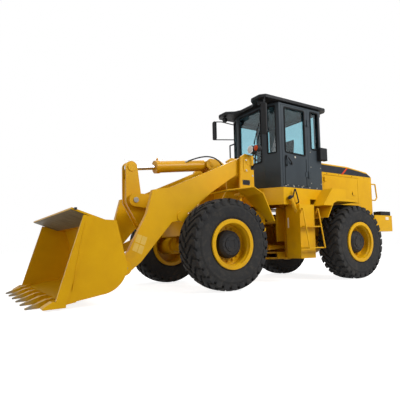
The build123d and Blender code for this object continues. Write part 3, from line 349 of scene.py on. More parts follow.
def axes(direction):
    """Two directions square to a given one."""
    direction = Vector(direction).normalized()
    other = Vector((0, 0, 1)) if abs(direction.z) < 0.9 else Vector((1, 0, 0))
    side = direction.cross(other).normalized()
    return side, side.cross(direction).normalized()


def turned(bm, centre, direction, outline, count, index=0):
    """A closed turned form: an outline of (distance along, radius) about a line."""
    centre, direction = Vector(centre), Vector(direction).normalized()
    side, up = axes(direction)
    rings = []
    for along, radius in outline:
        if radius < 1e-6:
            rings.append([bm.verts.new(centre + direction * along)])
            continue
        ring = []
        for i in range(count):
            turn = 2 * math.pi * i / count
            ring.append(bm.verts.new(centre + direction * along
                                     + (side * math.cos(turn) + up * math.sin(turn)) * radius))
        rings.append(ring)
    for a, b in zip(rings, rings[1:]):
        for i in range(count):
            j = (i + 1) % count
            if len(a) == 1 and len(b) == 1:
                continue
            if len(a) == 1:
                face = bm.faces.new((a[0], b[i], b[j]))
            elif len(b) == 1:
                face = bm.faces.new((a[i], b[0], a[j]))
            else:
                face = bm.faces.new((a[i], b[i], b[j], a[j]))
            face.material_index = index


def on_circle(centre, radius, out, turn):
    """A point on a circle round an axle, at a distance out along it."""
    return centre + Vector((radius * math.cos(turn), out, radius * math.sin(turn)))


def bolt(bm, centre, direction, radius, height, index=0):
    """A hexagon head on a washer."""
    washer = [(0, 0), (0, radius * 1.35), (height * 0.25, radius * 1.35), (height * 0.25, 0)]
    head = [(height * 0.2, 0), (height * 0.2, radius), (height * 0.85, radius), (height, radius * 0.8),
            (height, 0)]
    turned(bm, centre, direction, washer, 14, index)
    turned(bm, centre, direction, head, HEXAGON, index)


def prism(bm, points, direction, index=0):
    """A closed slab: a loop of points pushed along a direction."""
    low = [bm.verts.new(p) for p in points]
    high = [bm.verts.new(Vector(p) + Vector(direction)) for p in points]
    faces = [bm.faces.new(low), bm.faces.new(list(reversed(high)))]
    for i in range(len(points)):
        j = (i + 1) % len(points)
        faces.append(bm.faces.new((low[i], high[i], high[j], low[j])))
    for face in faces:
        face.material_index = index


def cuboid(bm, a, b, index=0):
    """A box between two corners."""
    (x0, x1), (y0, y1), (z0, z1) = (sorted(pair) for pair in zip(a, b))
    prism(bm, [Vector((x0, y0, z0)), Vector((x1, y0, z0)), Vector((x1, y1, z0)), Vector((x0, y1, z0))],
          (0, 0, z1 - z0), index)


def bent_bar(bm, points, count):
    """A round bar through points, with a ball at each bend."""
    for p, q in zip(points, points[1:]):
        length = (q - p).length
        turned(bm, p, q - p, [(0, 0), (0, BAR_R), (length, BAR_R), (length, 0)], count)
    for p in points[1:-1]:
        bmesh.ops.create_uvsphere(bm, u_segments=count, v_segments=8, radius=BALL_R,
                                  matrix=Matrix.Translation(p))


def panel(x, y, z, half_x, half_y, half_z):
    """The corners of an upright plate, from its middle and half its sizes in millimetres."""
    return [here(x + a * half_x, y + a * half_y, z + b * half_z) for a, b in CORNERS]


def rounded(points, radius, steps=5):
    """A flat loop with its corners rounded."""
    made = []
    for i, corner in enumerate(points):
        before = (points[i - 1] - corner).normalized()
        after = (points[(i + 1) % len(points)] - corner).normalized()
        for k in range(steps + 1):
            t = k / steps
            start, end = corner + before * radius, corner + after * radius
            made.append(start * (1 - t) ** 2 + corner * 2 * t * (1 - t) + end * t ** 2)
    return made


def film(bm, points, normal, index):
    """A thin film on a wall."""
    normal = Vector(normal).normalized()
    prism(bm, [Vector(p) + normal * FILM * 0.3 for p in points], normal * FILM, index)


def bead(bm, points, radius):
    """A rippled weld bead along a line of points."""
    for a, b in zip(points, points[1:]):
        length = (b - a).length
        count = max(2, int(length / RIPPLE))
        outline = [(0.0, 0.0)]
        for i in range(count + 1):
            outline.append((length * i / count, radius * (1.0 if i % 2 else RIPPLE_LOW)))
        outline.append((length, 0.0))
        turned(bm, a, b - a, outline, 8)


# Tyres

TYRE_R = (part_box("tyre_front_left")[1].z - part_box("tyre_front_left")[0].z) / 2
TYRE_HALF = (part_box("tyre_front_left")[1].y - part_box("tyre_front_left")[0].y) / 2
TYRE_STEPS = 120
CROWN_DROP = 0.030
LUGS = 28
LUG_DEPTH = 0.030
LUG_STEPS = 10
LUG_REACH = 0.96
# Shares of the pitch between two lugs
LUG_SWAY, LUG_TRAIL, LUG_WIDTH, LUG_TAPER, FOOT_WIDTH = 0.42, 0.12, 0.74, 0.16, 0.62
LUG_HALF_WAVES = 1.6
LUG_ROOT = 0.012
FOOT_DROP = 0.105
# Each sidewall point: share of half the tyre's width, and depth under the ground between the lugs
SIDEWALL = ((0.0, 0.0), (0.55, 0.003), (0.80, 0.014), (0.93, 0.038), (0.955, 0.07), (0.975, 0.10),
            (0.99, 0.105), (0.995, 0.112), (0.988, 0.118), (0.992, 0.16), (0.985, 0.20), (0.955, 0.235),
            (0.955, 0.243), (0.93, 0.250), (0.90, 0.262))
# Each point of the bead: share of half the tyre's width, and radius
TYRE_BEAD = ((0.885, 0.357), (0.86, 0.320), (0.60, 0.3185))


def crown(y):
    """The tread's outer radius at a distance from the tyre's middle."""
    share = min(1.0, abs(y) / TYRE_HALF)
    return TYRE_R - CROWN_DROP * share ** 3


def carcass(bm, centre):
    """The smooth body under the lugs, with its sidewall rings and beads."""
    top = TYRE_R - LUG_DEPTH
    side = [(TYRE_HALF * share, top - depth) for share, depth in SIDEWALL]
    side += [(TYRE_HALF * share, radius) for share, radius in TYRE_BEAD]
    outline = [(-y, r) for y, r in reversed(side)] + side[1:]
    turned(bm, centre, (0, 1, 0), outline + [outline[0]], TYRE_STEPS)


def lug(bm, centre, turn, side):
    """One wavy shoulder lug: its top follows the crown and its root drops down the sidewall."""
    pitch = 2 * math.pi * TYRE_R / LUGS
    rows = []
    for i in range(LUG_STEPS + 1):
        t = i / LUG_STEPS
        y = TYRE_HALF * (1.0 - LUG_REACH * t)
        sway = pitch * (LUG_SWAY * math.sin(t * math.pi * LUG_HALF_WAVES) - LUG_TRAIL * t)
        width = pitch * (LUG_WIDTH - LUG_TAPER * t)
        row = []
        for edge, raised in ((-0.5, False), (-0.43, True), (0.43, True), (0.5, False)):
            radius = crown(y) if raised else TYRE_R - LUG_DEPTH - LUG_ROOT
            angle = turn + (sway + edge * width) / TYRE_R
            row.append(bm.verts.new(on_circle(centre, radius, side * y, angle)))
        rows.append(row)
    foot = []
    for edge, raised in ((-0.5, False), (-0.36, True), (0.36, True), (0.5, False)):
        radius = TYRE_R - FOOT_DROP
        y = TYRE_HALF * (0.995 if raised else 0.94)
        angle = turn + edge * pitch * FOOT_WIDTH / radius
        foot.append(bm.verts.new(on_circle(centre, radius, side * y, angle)))
    rows.insert(0, foot)
    for a, b in zip(rows, rows[1:]):
        for i in range(3):
            bm.faces.new((a[i], a[i + 1], b[i + 1], b[i]))
        bm.faces.new((a[3], a[0], b[0], b[3]))
    bm.faces.new(rows[0])
    bm.faces.new(rows[-1])


def make_tyre(end, hand):
    """A tyre with its tread, in place of the plain one."""
    node = f"tyre_{end}_{hand}"
    centre = sum((Vector(c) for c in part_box(node)), Vector()) / 2
    bm = bmesh.new()
    carcass(bm, centre)
    pitch = 2 * math.pi / LUGS
    for i in range(LUGS):
        lug(bm, centre, i * pitch, 1)
        lug(bm, centre, (i + 0.5) * pitch, -1)
    piece = add(f"tread_{end}_{hand}", bm, "tyre", f"wheel_{end}_{hand}", 32.0, 0.004)
    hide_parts(node)


# Wheels: every outline is (distance out from the wheel's middle or from the piece's foot, radius)

HUB_COVER = [(0.046, 0.0), (0.046, 0.2045), (0.060, 0.2045), (0.132, 0.1925), (0.139, 0.186),
             (0.1690, 0.1545), (0.1735, 0.150), (0.1735, 0.128), (0.1700, 0.125), (0.1700, 0.108),
             (0.1790, 0.105), (0.1790, 0.060), (0.1745, 0.056), (0.1745, 0.0)]
LOCK_RING = [(0.2225, 0.352), (0.2235, 0.346), (0.202, 0.333), (0.199, 0.322), (0.197, 0.302),
             (0.166, 0.287), (0.160, 0.293), (0.190, 0.310), (0.194, 0.340), (0.214, 0.356)]
NUT_WASHER = [(0, 0), (0, 0.021), (0.005, 0.021), (0.005, 0.0)]
NUT = [(0.004, 0), (0.004, 0.0165), (0.019, 0.0165), (0.022, 0.013), (0.022, 0.008), (0.034, 0.008),
       (0.034, 0.0)]
VALVE = [(0, 0), (0, 0.007), (0.05, 0.0055), (0.056, 0.008), (0.074, 0.008), (0.076, 0.0)]
NUTS, NUT_CIRCLE, DISC_FACE = 16, 0.236, 0.052
COVER_BOLTS, COVER_CIRCLE, COVER_FACE = 12, 0.138, 0.1725
CAP_BOLTS, CAP_CIRCLE, CAP_FACE = 4, 0.083, 0.178
VALVE_REACH, VALVE_LEAN = 0.262, 0.45


def make_rim_trim(end, hand):
    """Hub cover with its rings and bolts, the lock ring, wheel nuts and the valve."""
    side = 1 if hand == "left" else -1
    low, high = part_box(f"rim_{end}_{hand}")
    centre = (low + high) / 2
    out = (0, side, 0)
    bm = bmesh.new()
    turned(bm, centre, out, HUB_COVER, 64, 0)
    for i in range(NUTS):
        spot = on_circle(centre, NUT_CIRCLE, side * DISC_FACE, 2 * math.pi * i / NUTS)
        turned(bm, spot, out, NUT_WASHER, 16, 1)
        turned(bm, spot, out, NUT, HEXAGON, 1)
    for i in range(COVER_BOLTS):
        turn = 2 * math.pi * (i + 0.5) / COVER_BOLTS
        bolt(bm, on_circle(centre, COVER_CIRCLE, side * COVER_FACE, turn), out, 0.0075, 0.008, 2)
    for i in range(CAP_BOLTS):
        turn = 2 * math.pi * (i + 0.5) / CAP_BOLTS
        bolt(bm, on_circle(centre, CAP_CIRCLE, side * CAP_FACE, turn), out, 0.009, 0.009, 2)
    piece = add(f"hub_cover_{end}_{hand}", bm, ("dark", "yellow", "dark"), f"wheel_{end}_{hand}", 30.0)
    bm = bmesh.new()
    turned(bm, centre, out, LOCK_RING + [LOCK_RING[0]], 96)
    piece = add(f"lock_ring_{end}_{hand}", bm, "yellow", f"wheel_{end}_{hand}", 30.0)
    bm = bmesh.new()
    turned(bm, centre + Vector((VALVE_REACH, side * DISC_FACE, 0.0)), (VALVE_LEAN, side, 0), VALVE, 14)
    add(f"valve_{end}_{hand}", bm, "black", f"wheel_{end}_{hand}", 30.0)


# Engine housing: loops are (x, z) in millimetres on its sides

HOOD_SIDE = 600
HOOD_BAND = [(-1090, 2006), (-2616, 2006), (-2611, 2024), (-2560, 2046), (-2500, 2074), (-2180, 2112),
             (-1870, 2142), (-1480, 2146), (-1090, 2148)]
HOOD_SLASH = [(-1838, 2141.5), (-1888, 2139), (-1722, 1996), (-1672, 1996)]
LATCH = [(-0.002, 0), (-0.002, 0.030), (0.004, 0.030), (0.006, 0.027), (0.006, 0.014), (0.011, 0.012),
         (0.011, 0.0)]
LATCH_X, LATCH_Z = -2017, 1633
HOOD_SEAM = ((-1509, -0.5, 1609), (-1748, 2, 1618))
HOOD_PLUG = [(-0.002, 0), (-0.002, 0.009), (0.004, 0.008), (0.005, 0.0)]
HOOD_PLUGS_X, HOOD_PLUGS_Z = (-1250, -1600, -2000, -2400), 1985
# The radiator behind the grille: its front and back planes, its foot and top, and its fins and tubes
FINS_X, TUBES_X, PLATE_X = (-2598, -2570), (-2592, -2574), (-2575, -2568)
CORE_HALF, CORE_LOW, CORE_HIGH, CORE_EDGE = 400, 1340, 1890, 5
FINS_EACH_SIDE, FIN_STEP, FIN_HALF = 9, 40, 1.5
TUBES, TUBES_FROM, TUBE_STEP, TUBE_TALL, TUBE_SHORT = 26, 1352, 21, 3, 4


def hood_marks():
    """The black band, the slash, the seam and the latch on each side of the engine housing."""
    for side in (1, -1):
        normal = (0, side, 0)
        bm = bmesh.new()
        film(bm, [here(x, side * (HOOD_SIDE + 0.6), z) for x, z in HOOD_BAND], normal, 0)
        film(bm, [here(x, side * (HOOD_SIDE + 1.5), z) for x, z in HOOD_SLASH], normal, 1)
        add(f"hood_band_{side}", bm, ("stripe", "slash"), "rear_body", 0)
        bm = bmesh.new()
        cuboid(bm, *(here(x, side * (HOOD_SIDE + out), z) for x, out, z in HOOD_SEAM))
        turned(bm, here(LATCH_X, side * HOOD_SIDE, LATCH_Z), normal, LATCH, 28)
        for x in HOOD_PLUGS_X:
            turned(bm, here(x, side * HOOD_SIDE, HOOD_PLUGS_Z), normal, HOOD_PLUG, 16)
        add(f"hood_latch_{side}", bm, "black", "rear_body", 30.0)


def radiator_core():
    """Fins and tubes behind the rear grille, on a back plate."""
    bm = bmesh.new()
    for k in range(-FINS_EACH_SIDE, FINS_EACH_SIDE + 1):
        y = k * FIN_STEP
        cuboid(bm, here(FINS_X[0], y - FIN_HALF, CORE_LOW + CORE_EDGE),
               here(FINS_X[1], y + FIN_HALF, CORE_HIGH - CORE_EDGE))
    for k in range(TUBES):
        z = TUBES_FROM + k * TUBE_STEP
        cuboid(bm, here(TUBES_X[0], TUBE_SHORT - CORE_HALF, z),
               here(TUBES_X[1], CORE_HALF - TUBE_SHORT, z + TUBE_TALL))
    cuboid(bm, here(PLATE_X[0], -CORE_HALF, CORE_LOW), here(PLATE_X[1], CORE_HALF, CORE_HIGH))
    add("radiator_core", bm, "dark", "rear_body", 0)


# Cab: the walls' planes and the windows' edges, in millimetres

CAB_SIDE = 650
CAB_FRONT, CAB_BACK = 120, -1050
WINDSCREEN = ((-318, 2112), (318, 2112), (318, 3106), (-318, 3106))
REAR_PANE = ((-546, 2234), (546, 2234), (546, 3104), (-546, 3104))
SIDE_PANE = ((-1004, 2374), (-776, 2374), (-776, 3104), (-1004, 3104))
DOOR_PANE = ((-636, 2229), (-114, 2254), (-114, 3086), (-636, 3086))
SLANT_FRONT_Y, SLANT_BACK_X, SLANT_LOW, SLANT_HIGH, SLANT_EDGE = 380, 0, 2242, 3098, 55
DOOR_EDGES, DOOR_SEAM = (-640, -110), ((-6, -2, 1668), (6, 3.5, 2180))
DOOR_LEVER = ((-139, 655, 2191), (-139, 676, 2188), (-180, 682, 2150), (-240, 682, 2088), (-266, 662, 2062))
LEVER_FEET = (((-118, 2215), (-160, 2168)), ((-250, 2080), (-284, 2044)))
DOOR_LOCK = [(-0.002, 0), (-0.002, 0.019), (0.006, 0.019), (0.009, 0.015), (0.009, 0)]
LOCK_X, LOCK_Z = -360, 2194
DOOR_BOLTS_X, DOOR_BOLTS_Z = (-160, -290, -420, -550), 1682
SILL_BOLTS_X, SILL_BOLTS_Z = (-110, -310, -510, -710, -900), 1664
PILLAR_BOLTS_X, PILLAR_BOLTS_Z = (-1020, -760), (1750, 2050, 2330)


def gasket(bm, corners, normal, width=0.028, height=0.012, radius=0.05):
    """A closed rubber ring round a window, lying on the wall and standing out along the normal."""
    normal = Vector(normal).normalized()
    outer = rounded([Vector(c) for c in corners], radius)
    middle = sum(outer, Vector()) / len(outer)
    sunk = -0.006
    rings = []
    for share, lift in ((0.0, sunk), (0.0, 0.6), (0.2, 1.0), (0.75, 1.0), (1.0, 0.5), (1.0, sunk)):
        ring = []
        for i, p in enumerate(outer):
            along = (outer[(i + 1) % len(outer)] - outer[i - 1]).normalized()
            inward = along.cross(normal)
            if inward.dot(middle - p) < 0:
                inward = -inward
            out = height * lift if lift > 0 else lift
            ring.append(bm.verts.new(p + inward * width * share + normal * out))
        rings.append(ring)
    rings.append(rings[0])
    for a, b in zip(rings, rings[1:]):
        for i in range(len(outer)):
            j = (i + 1) % len(outer)
            bm.faces.new((a[i], a[j], b[j], b[i]))


def window_rings():
    """Rubber rings round the fixed panes of the cab."""
    bm = bmesh.new()
    gasket(bm, [here(CAB_FRONT, y, z) for y, z in WINDSCREEN], (1, 0, 0))
    gasket(bm, [here(CAB_BACK, y, z) for y, z in REAR_PANE], (-1, 0, 0))
    for side in (1, -1):
        gasket(bm, [here(x, side * CAB_SIDE, z) for x, z in SIDE_PANE], (0, side, 0))
        front, back = here(CAB_FRONT, side * SLANT_FRONT_Y, 0), here(SLANT_BACK_X, side * CAB_SIDE, 0)
        along = (back - front).normalized()
        middle = (front + back) / 2
        half = (back - front).length / 2 - SLANT_EDGE * MM
        normal = Vector((-along.y, along.x, 0)) * (-side)
        if normal.x < 0:
            normal = -normal
        low, high = Vector((0, 0, SLANT_LOW * MM)), Vector((0, 0, SLANT_HIGH * MM))
        gasket(bm, [middle - along * half + low, middle + along * half + low,
                    middle + along * half + high, middle - along * half + high], normal, 0.022, 0.010, 0.035)
    add("window_rubber", bm, "seal", "rear_body", 40.0)


def door_trim(hand, side):
    """Rubber, lever and lock of one cab door."""
    bm = bmesh.new()
    gasket(bm, [here(x, side * CAB_SIDE, z) for x, z in DOOR_PANE], (0, side, 0))
    for x in DOOR_EDGES:
        cuboid(bm, *(here(x + wide, side * (CAB_SIDE + out), z) for wide, out, z in DOOR_SEAM))
    add(f"door_rubber_{hand}", bm, "seal", f"cab_door_{hand}", 40.0)
    bm = bmesh.new()
    bent_bar(bm, [here(x, side * y, z) for x, y, z in DOOR_LEVER], 14)
    for (x0, z0), (x1, z1) in LEVER_FEET:
        cuboid(bm, here(x0, side * CAB_SIDE, z0), here(x1, side * (CAB_SIDE + 7), z1))
    add(f"door_handle_{hand}", bm, "black", f"cab_door_{hand}", 35.0, 0.002)
    bm = bmesh.new()
    turned(bm, here(LOCK_X, side * CAB_SIDE, LOCK_Z), (0, side, 0), DOOR_LOCK, 24)
    for x in DOOR_BOLTS_X:
        bolt(bm, here(x, side * (CAB_SIDE + 0.5), DOOR_BOLTS_Z), (0, side, 0), 0.007, 0.006)
    add(f"door_lock_{hand}", bm, "zinc", f"cab_door_{hand}", 30.0)


WIPER_CAP = [(0, 0), (0, 0.022), (0.016, 0.019), (0.020, 0.0)]
WIPER_MOTOR = (119, 60, 2196)
WIPER_ROOT, WIPER_TIP = (136, 60, 2196), (137, 196, 2664)
BLADE_LOW, BLADE_HIGH = (130, 116, 2500), (130, 276, 2842)
# The blade's two strips: half the width, the depth and the place in front of the blade's line, in metres
BLADE_STRIPS = ((0.006, 0.006, 0.0), (0.003, 0.010, -0.008))


def wiper():
    """The windscreen wiper: motor cap, arm and blade."""
    bm = bmesh.new()
    turned(bm, here(*WIPER_MOTOR), (1, 0, 0), WIPER_CAP, 24)
    root, tip = here(*WIPER_ROOT), here(*WIPER_TIP)
    length = (tip - root).length
    turned(bm, root, tip - root, [(0, 0), (0, 0.009), (0.12, 0.006), (length, 0.004), (length, 0)], 10)
    low, high = here(*BLADE_LOW), here(*BLADE_HIGH)
    across = (high - low).normalized().cross(Vector((1, 0, 0))).normalized()
    for half, deep, out in BLADE_STRIPS:
        loop = [low + across * half, high + across * half, high - across * half, low - across * half]
        prism(bm, [p + Vector((out, 0, 0)) for p in loop], (deep, 0, 0))
    cuboid(bm, tip + Vector((-0.006, -0.012, -0.010)), tip + Vector((0.004, 0.012, 0.010)))
    add("wiper", bm, "black", "rear_body", 35.0)


ROOF_LENS = [(-0.006, 0), (-0.006, 0.040), (0.002, 0.040), (0.007, 0.030), (0.009, 0.0)]
# The roof lamps: x of each pair with the way it looks, and the pair's y and z
ROOF_LAMPS, ROOF_LAMP_Y, ROOF_LAMP_Z = ((300, 1), (-1150, -1)), 520, 3108
# Each mirror face: x, y, z of its middle, half its width and half its height
MIRRORS = ((432, 750, 2740, 54, 250), (330, -850, 2975, 49, 180))


def cab_trim():
    """Roof lamp lenses, mirror faces and the bolts of the cab's sides."""
    bm = bmesh.new()
    for x, way in ROOF_LAMPS:
        for side in (1, -1):
            turned(bm, here(x, side * ROOF_LAMP_Y, ROOF_LAMP_Z), (way, 0, 0), ROOF_LENS, 32)
    add("roof_lamp_lenses", bm, "lens", "rear_body", 30.0)
    bm = bmesh.new()
    for x, y, z, half_wide, half_tall in MIRRORS:
        prism(bm, rounded(panel(x, y, z, 0, half_wide, half_tall), 0.02), (-0.0025, 0, 0))
    add("mirror_faces", bm, "mirror", "rear_body", 0)
    bm = bmesh.new()
    for side in (1, -1):
        for x in SILL_BOLTS_X:
            bolt(bm, here(x, side * CAB_SIDE, SILL_BOLTS_Z), (0, side, 0), 0.010, 0.008)
        for x in PILLAR_BOLTS_X:
            for z in PILLAR_BOLTS_Z:
                bolt(bm, here(x, side * CAB_SIDE, z), (0, side, 0), 0.007, 0.006)
    add("cab_bolts", bm, "zinc", "rear_body", 30.0)


# Lamps of the front frame and of the tail

HEADLAMP, INDICATOR = (785, 793, 2165), (776, 915, 2165)
HEADLAMP_LENS = [(-0.012, 0), (-0.012, 0.060), (0.0, 0.060), (0.008, 0.052), (0.014, 0.030), (0.016, 0.0)]
HEADLAMP_RIM = [(0.0, 0.060), (0.004, 0.0645), (0.009, 0.0645), (0.009, 0.0585), (0.0, 0.0585), (0.0, 0.060)]
INDICATOR_LENS = [(-0.012, 0), (-0.012, 0.044), (0.002, 0.044), (0.012, 0.036), (0.018, 0.018), (0.019, 0.0)]
TAIL_X, TAIL_Z, TAIL_HALF = -2941, 1235, 34


def lamp_lenses():
    """Lenses and rims of the lamps on the front frame, and the lenses of the tail."""
    for side in (1, -1):
        headlamp, indicator = (here(x, side * y, z) for x, y, z in (HEADLAMP, INDICATOR))
        bm = bmesh.new()
        turned(bm, headlamp, (1, 0, 0), HEADLAMP_LENS, 40, 0)
        turned(bm, headlamp, (1, 0, 0), HEADLAMP_RIM, 40, 2)
        turned(bm, indicator, (1, 0, 0), INDICATOR_LENS, 32, 1)
        add(f"lamp_lenses_{side}", bm, ("lens", "orange", "shell"), "front_body", 30.0)
        bm = bmesh.new()
        for y, index in ((680, 0), (760, 1)):
            loop = panel(TAIL_X, side * y, TAIL_Z, 0, side * TAIL_HALF, TAIL_HALF)
            prism(bm, rounded(loop, 0.010), (-0.007, 0, 0), index)
        prism(bm, rounded(panel(-2700, side * 870.5, 1130, 52, 0, 30), 0.008), (0, side * 0.004, 0), 2)
        add(f"tail_lenses_{side}", bm, ("red", "orange", "cream"), "rear_body", 30.0)


# Lift towers: loops are (x, z) in millimetres on their outer sides

TOWER_SIDE = 725
TOWER_SIGN = ((761, 1602), (907, 1602), (907, 1683), (761, 1683))
TOWER_COVER = ((790, 1816), (872, 1816), (882, 1835), (884, 2005), (868, 2022), (796, 2022), (778, 2005),
               (780, 1835))
RIVET = [(0, 0), (0, 0.004), (0.0015, 0.003), (0.002, 0)]
RIVETS_X, RIVETS_Z = (772, 896), (1612, 1673)
COVER_BOLTS_X, COVER_BOLTS_Z = 831, (1838, 2000)
TOWER_BOLTS_X, TOWER_BOLTS_Z = 700, (1560, 1760)


def tower_plates():
    """A blank plate with rivets, a cover and bolts on each lift tower."""
    bm = bmesh.new()
    for side in (1, -1):
        out = (0, side, 0)
        sign = [here(x, side * TOWER_SIDE, z) for x, z in TOWER_SIGN]
        prism(bm, rounded(sign, 0.008), (0, side * 0.003, 0), 0)
        for x in RIVETS_X:
            for z in RIVETS_Z:
                turned(bm, here(x, side * (TOWER_SIDE + 3), z), out, RIVET, 10, 1)
        cover = [here(x, side * TOWER_SIDE, z) for x, z in TOWER_COVER]
        prism(bm, rounded(cover, 0.012), (0, side * 0.008, 0), 2)
        for z in COVER_BOLTS_Z:
            bolt(bm, here(COVER_BOLTS_X, side * (TOWER_SIDE + 8), z), out, 0.012, 0.010, 1)
        for z in TOWER_BOLTS_Z:
            bolt(bm, here(TOWER_BOLTS_X, side * TOWER_SIDE, z), out, 0.012, 0.010, 1)
    add("tower_plates", bm, ("plate", "zinc", "yellow"), "front_body", 30.0)


ARM_SIDE = 660
ARM_LABEL = ((2677, 848), (2515, 791), (2611, 532), (2767, 602))
LABEL_EDGE, LABEL_STEP = 0.06, 0.47


def arm_labels():
    """Two by two blank labels on each lift arm, in a patch with four corners."""
    corners = [here(x, ARM_SIDE, z) for x, z in ARM_LABEL]

    def spot(u, v, side):
        p = (corners[0] * (1 - u) + corners[1] * u) * (1 - v) + (corners[3] * (1 - u) + corners[2] * u) * v
        return Vector((p.x, side * p.y, p.z))
    bm = bmesh.new()
    for side in (1, -1):
        for i in range(2):
            for k in range(2):
                u0, u1 = LABEL_EDGE + i * LABEL_STEP, LABEL_STEP + i * LABEL_STEP
                v0, v1 = LABEL_EDGE + k * LABEL_STEP, LABEL_STEP + k * LABEL_STEP
                loop = [spot(u, v, side) for u, v in ((u0, v0), (u1, v0), (u1, v1), (u0, v1))]
                prism(bm, rounded(loop, 0.006, 3), (0, side * 0.0012, 0), 0)
    add("arm_labels", bm, ("label",), "lift_arms", 0)


BUCKET_SIDE = 1225.5
BUCKET_SEAM = ((3660, 205), (3632, 420), (3560, 800), (3520, 955))
GUARD_BACK, GUARD_TIP = (3310, 0, 950), (3672, 0, 1078)
GUARD_HALF, GUARD_UNDER = 1.190, -0.004
GUARD_BLOCK = ((3618, 1222, 1070), (3646, 1232, 1098))


def bucket_welds():
    """Weld beads up the bucket's cheeks, a block beside each top corner, and the guard's underside in a
    khaki grey that is worn paint with painted shade.
    """
    bm = bmesh.new()
    for side in (1, -1):
        bead(bm, [here(x, side * BUCKET_SIDE, z) for x, z in BUCKET_SEAM], 0.005)
        cuboid(bm, *(here(x, side * y, z) for x, y, z in GUARD_BLOCK), 1)
    back, tip = here(*GUARD_BACK), here(*GUARD_TIP)
    corners = ((back, -1), (tip, -1), (tip, 1), (back, 1))
    loop = [p + Vector((0, side * GUARD_HALF, GUARD_UNDER)) for p, side in corners]
    # A thin khaki-grey sheet under the guard: worn paint with painted shade of its underside
    prism(bm, loop, (0, 0, 0.003), 2)
    add("bucket_welds", bm, ("bucket", "dark", "worn_and_painted_shade"), "bucket", 40.0)


# Deck and tanks

STEP_HANDLE = ((19, 850, 1402), (19, 885, 1402), (0, 905, 1420), (-30, 908, 1500), (-48, 908, 1560),
               (-66, 908, 1562), (-105, 908, 1460), (-138, 905, 1358), (-144, 885, 1342), (-144, 850, 1342))
STUD = [(-0.001, 0), (-0.001, 0.011), (0.003, 0.009), (0.0035, 0)]
STUD_ROWS, STUDS, STUD_STEP, STUD_ROW_STEP = 3, 9, 100, 55
STUDS_X, STUDS_Y, DECK_TOP = -960, 700, 1600
CAP_PLACE, CAP_LEAN = (40, 900, 1410), (150, 0, 250)
FILLER_CAP = [(0.0, 0), (0.0, 0.040), (0.006, 0.043), (0.030, 0.043), (0.036, 0.039), (0.036, 0.026),
              (0.046, 0.024), (0.046, 0.0)]


def deck_trim():
    """Hoop handles, tread studs, the pale strip on each tank's front, and the filler cap."""
    for side in (1, -1):
        bm = bmesh.new()
        bent_bar(bm, [here(x, side * y, z) for x, y, z in STEP_HANDLE], 12)
        add(f"step_handle_{side}", bm, "black", "rear_body", 35.0)
        bm = bmesh.new()
        for row in range(STUD_ROWS):
            for k in range(STUDS):
                place = here(STUDS_X + k * STUD_STEP, side * (STUDS_Y + row * STUD_ROW_STEP), DECK_TOP)
                turned(bm, place, (0, 0, 1), STUD, 12)
        add(f"tread_studs_{side}", bm, "dark", "rear_body", 30.0)
        bm = bmesh.new()
        prism(bm, rounded(panel(-70, side * 715, 1012, 0, side * 15, 87), 0.006), (0.002, 0, 0))
        add(f"tank_strip_{side}", bm, "cream", "rear_body", 0)
    bm = bmesh.new()
    turned(bm, here(*CAP_PLACE), CAP_LEAN, FILLER_CAP, 36)
    add("filler_cap", bm, ("dark",), "rear_body", 30.0)


# Seat

PAD_STEPS, PAD_CHANNELS = 26, 3
SEAT_LOW, SEAT_HIGH = (-760, -250, 1985), (-290, 250, 2100)
BACK_SIZE, BACK_PLACE, BACK_TURN = (0.30, 0.235, 0.06), (-735, 0, 2375), -98
FOLDS, FOLD_HEIGHT, FOLD_TUCK, FOLDS_FROM = 7, 42, 16, 1660
FOLD_X, FOLD_HALF = (-680, -350), 170
# Opposite corners of the pan, the foot and the back's post, then of the lever box and its stand
SEAT_BOXES = (((-720, -200, 1950), (-320, 200, 1992)), ((-700, -185, 1645), (-330, 185, 1664)),
              ((-790, -60, 1990), (-760, 60, 2200)))
LEVER_BOXES = (((-520, -360, 2060), (-250, -285, 2130)), ((-480, -350, 1645), (-400, -295, 2062)))
LEVERS_X, LEVERS_Y, LEVERS_Z = (-300, -345), -322, 2128
LEVER = [(0, 0), (0, 0.006), (0.07, 0.006), (0.072, 0.014), (0.10, 0.016), (0.108, 0)]


def cushion(bm, low, high):
    """A closed soft pad: a grid that bulges in the middle, pinched along its channels."""
    low, high = Vector(low), Vector(high)
    grids = []
    for face in (1, -1):
        grid = []
        for i in range(PAD_STEPS + 1):
            u = 2 * i / PAD_STEPS - 1
            line = []
            for j in range(PAD_STEPS + 1):
                v = 2 * j / PAD_STEPS - 1
                edge = (max(0.0, 1 - abs(u) ** 4) * max(0.0, 1 - abs(v) ** 4)) ** 0.35
                pinch = 1 - 0.10 * max(0.0, math.cos(math.pi * PAD_CHANNELS * v)) ** 10
                line.append((u, v, face * edge * pinch))
            grid.append(line)
        grids.append(grid)
    made = {}

    def vertex(u, v, w):
        key = (round(u, 4), round(v, 4), round(w, 4))
        if key not in made:
            place = [(a + b) / 2 + share * (b - a) / 2 for a, b, share in zip(low, high, (u, v, w))]
            made[key] = bm.verts.new(place)
        return made[key]
    for grid in grids:
        for i in range(PAD_STEPS):
            for j in range(PAD_STEPS):
                loop = [vertex(*grid[a][b]) for a, b in ((i, j), (i + 1, j), (i + 1, j + 1), (i, j + 1))]
                if len(set(loop)) == 4:
                    bm.faces.new(loop)


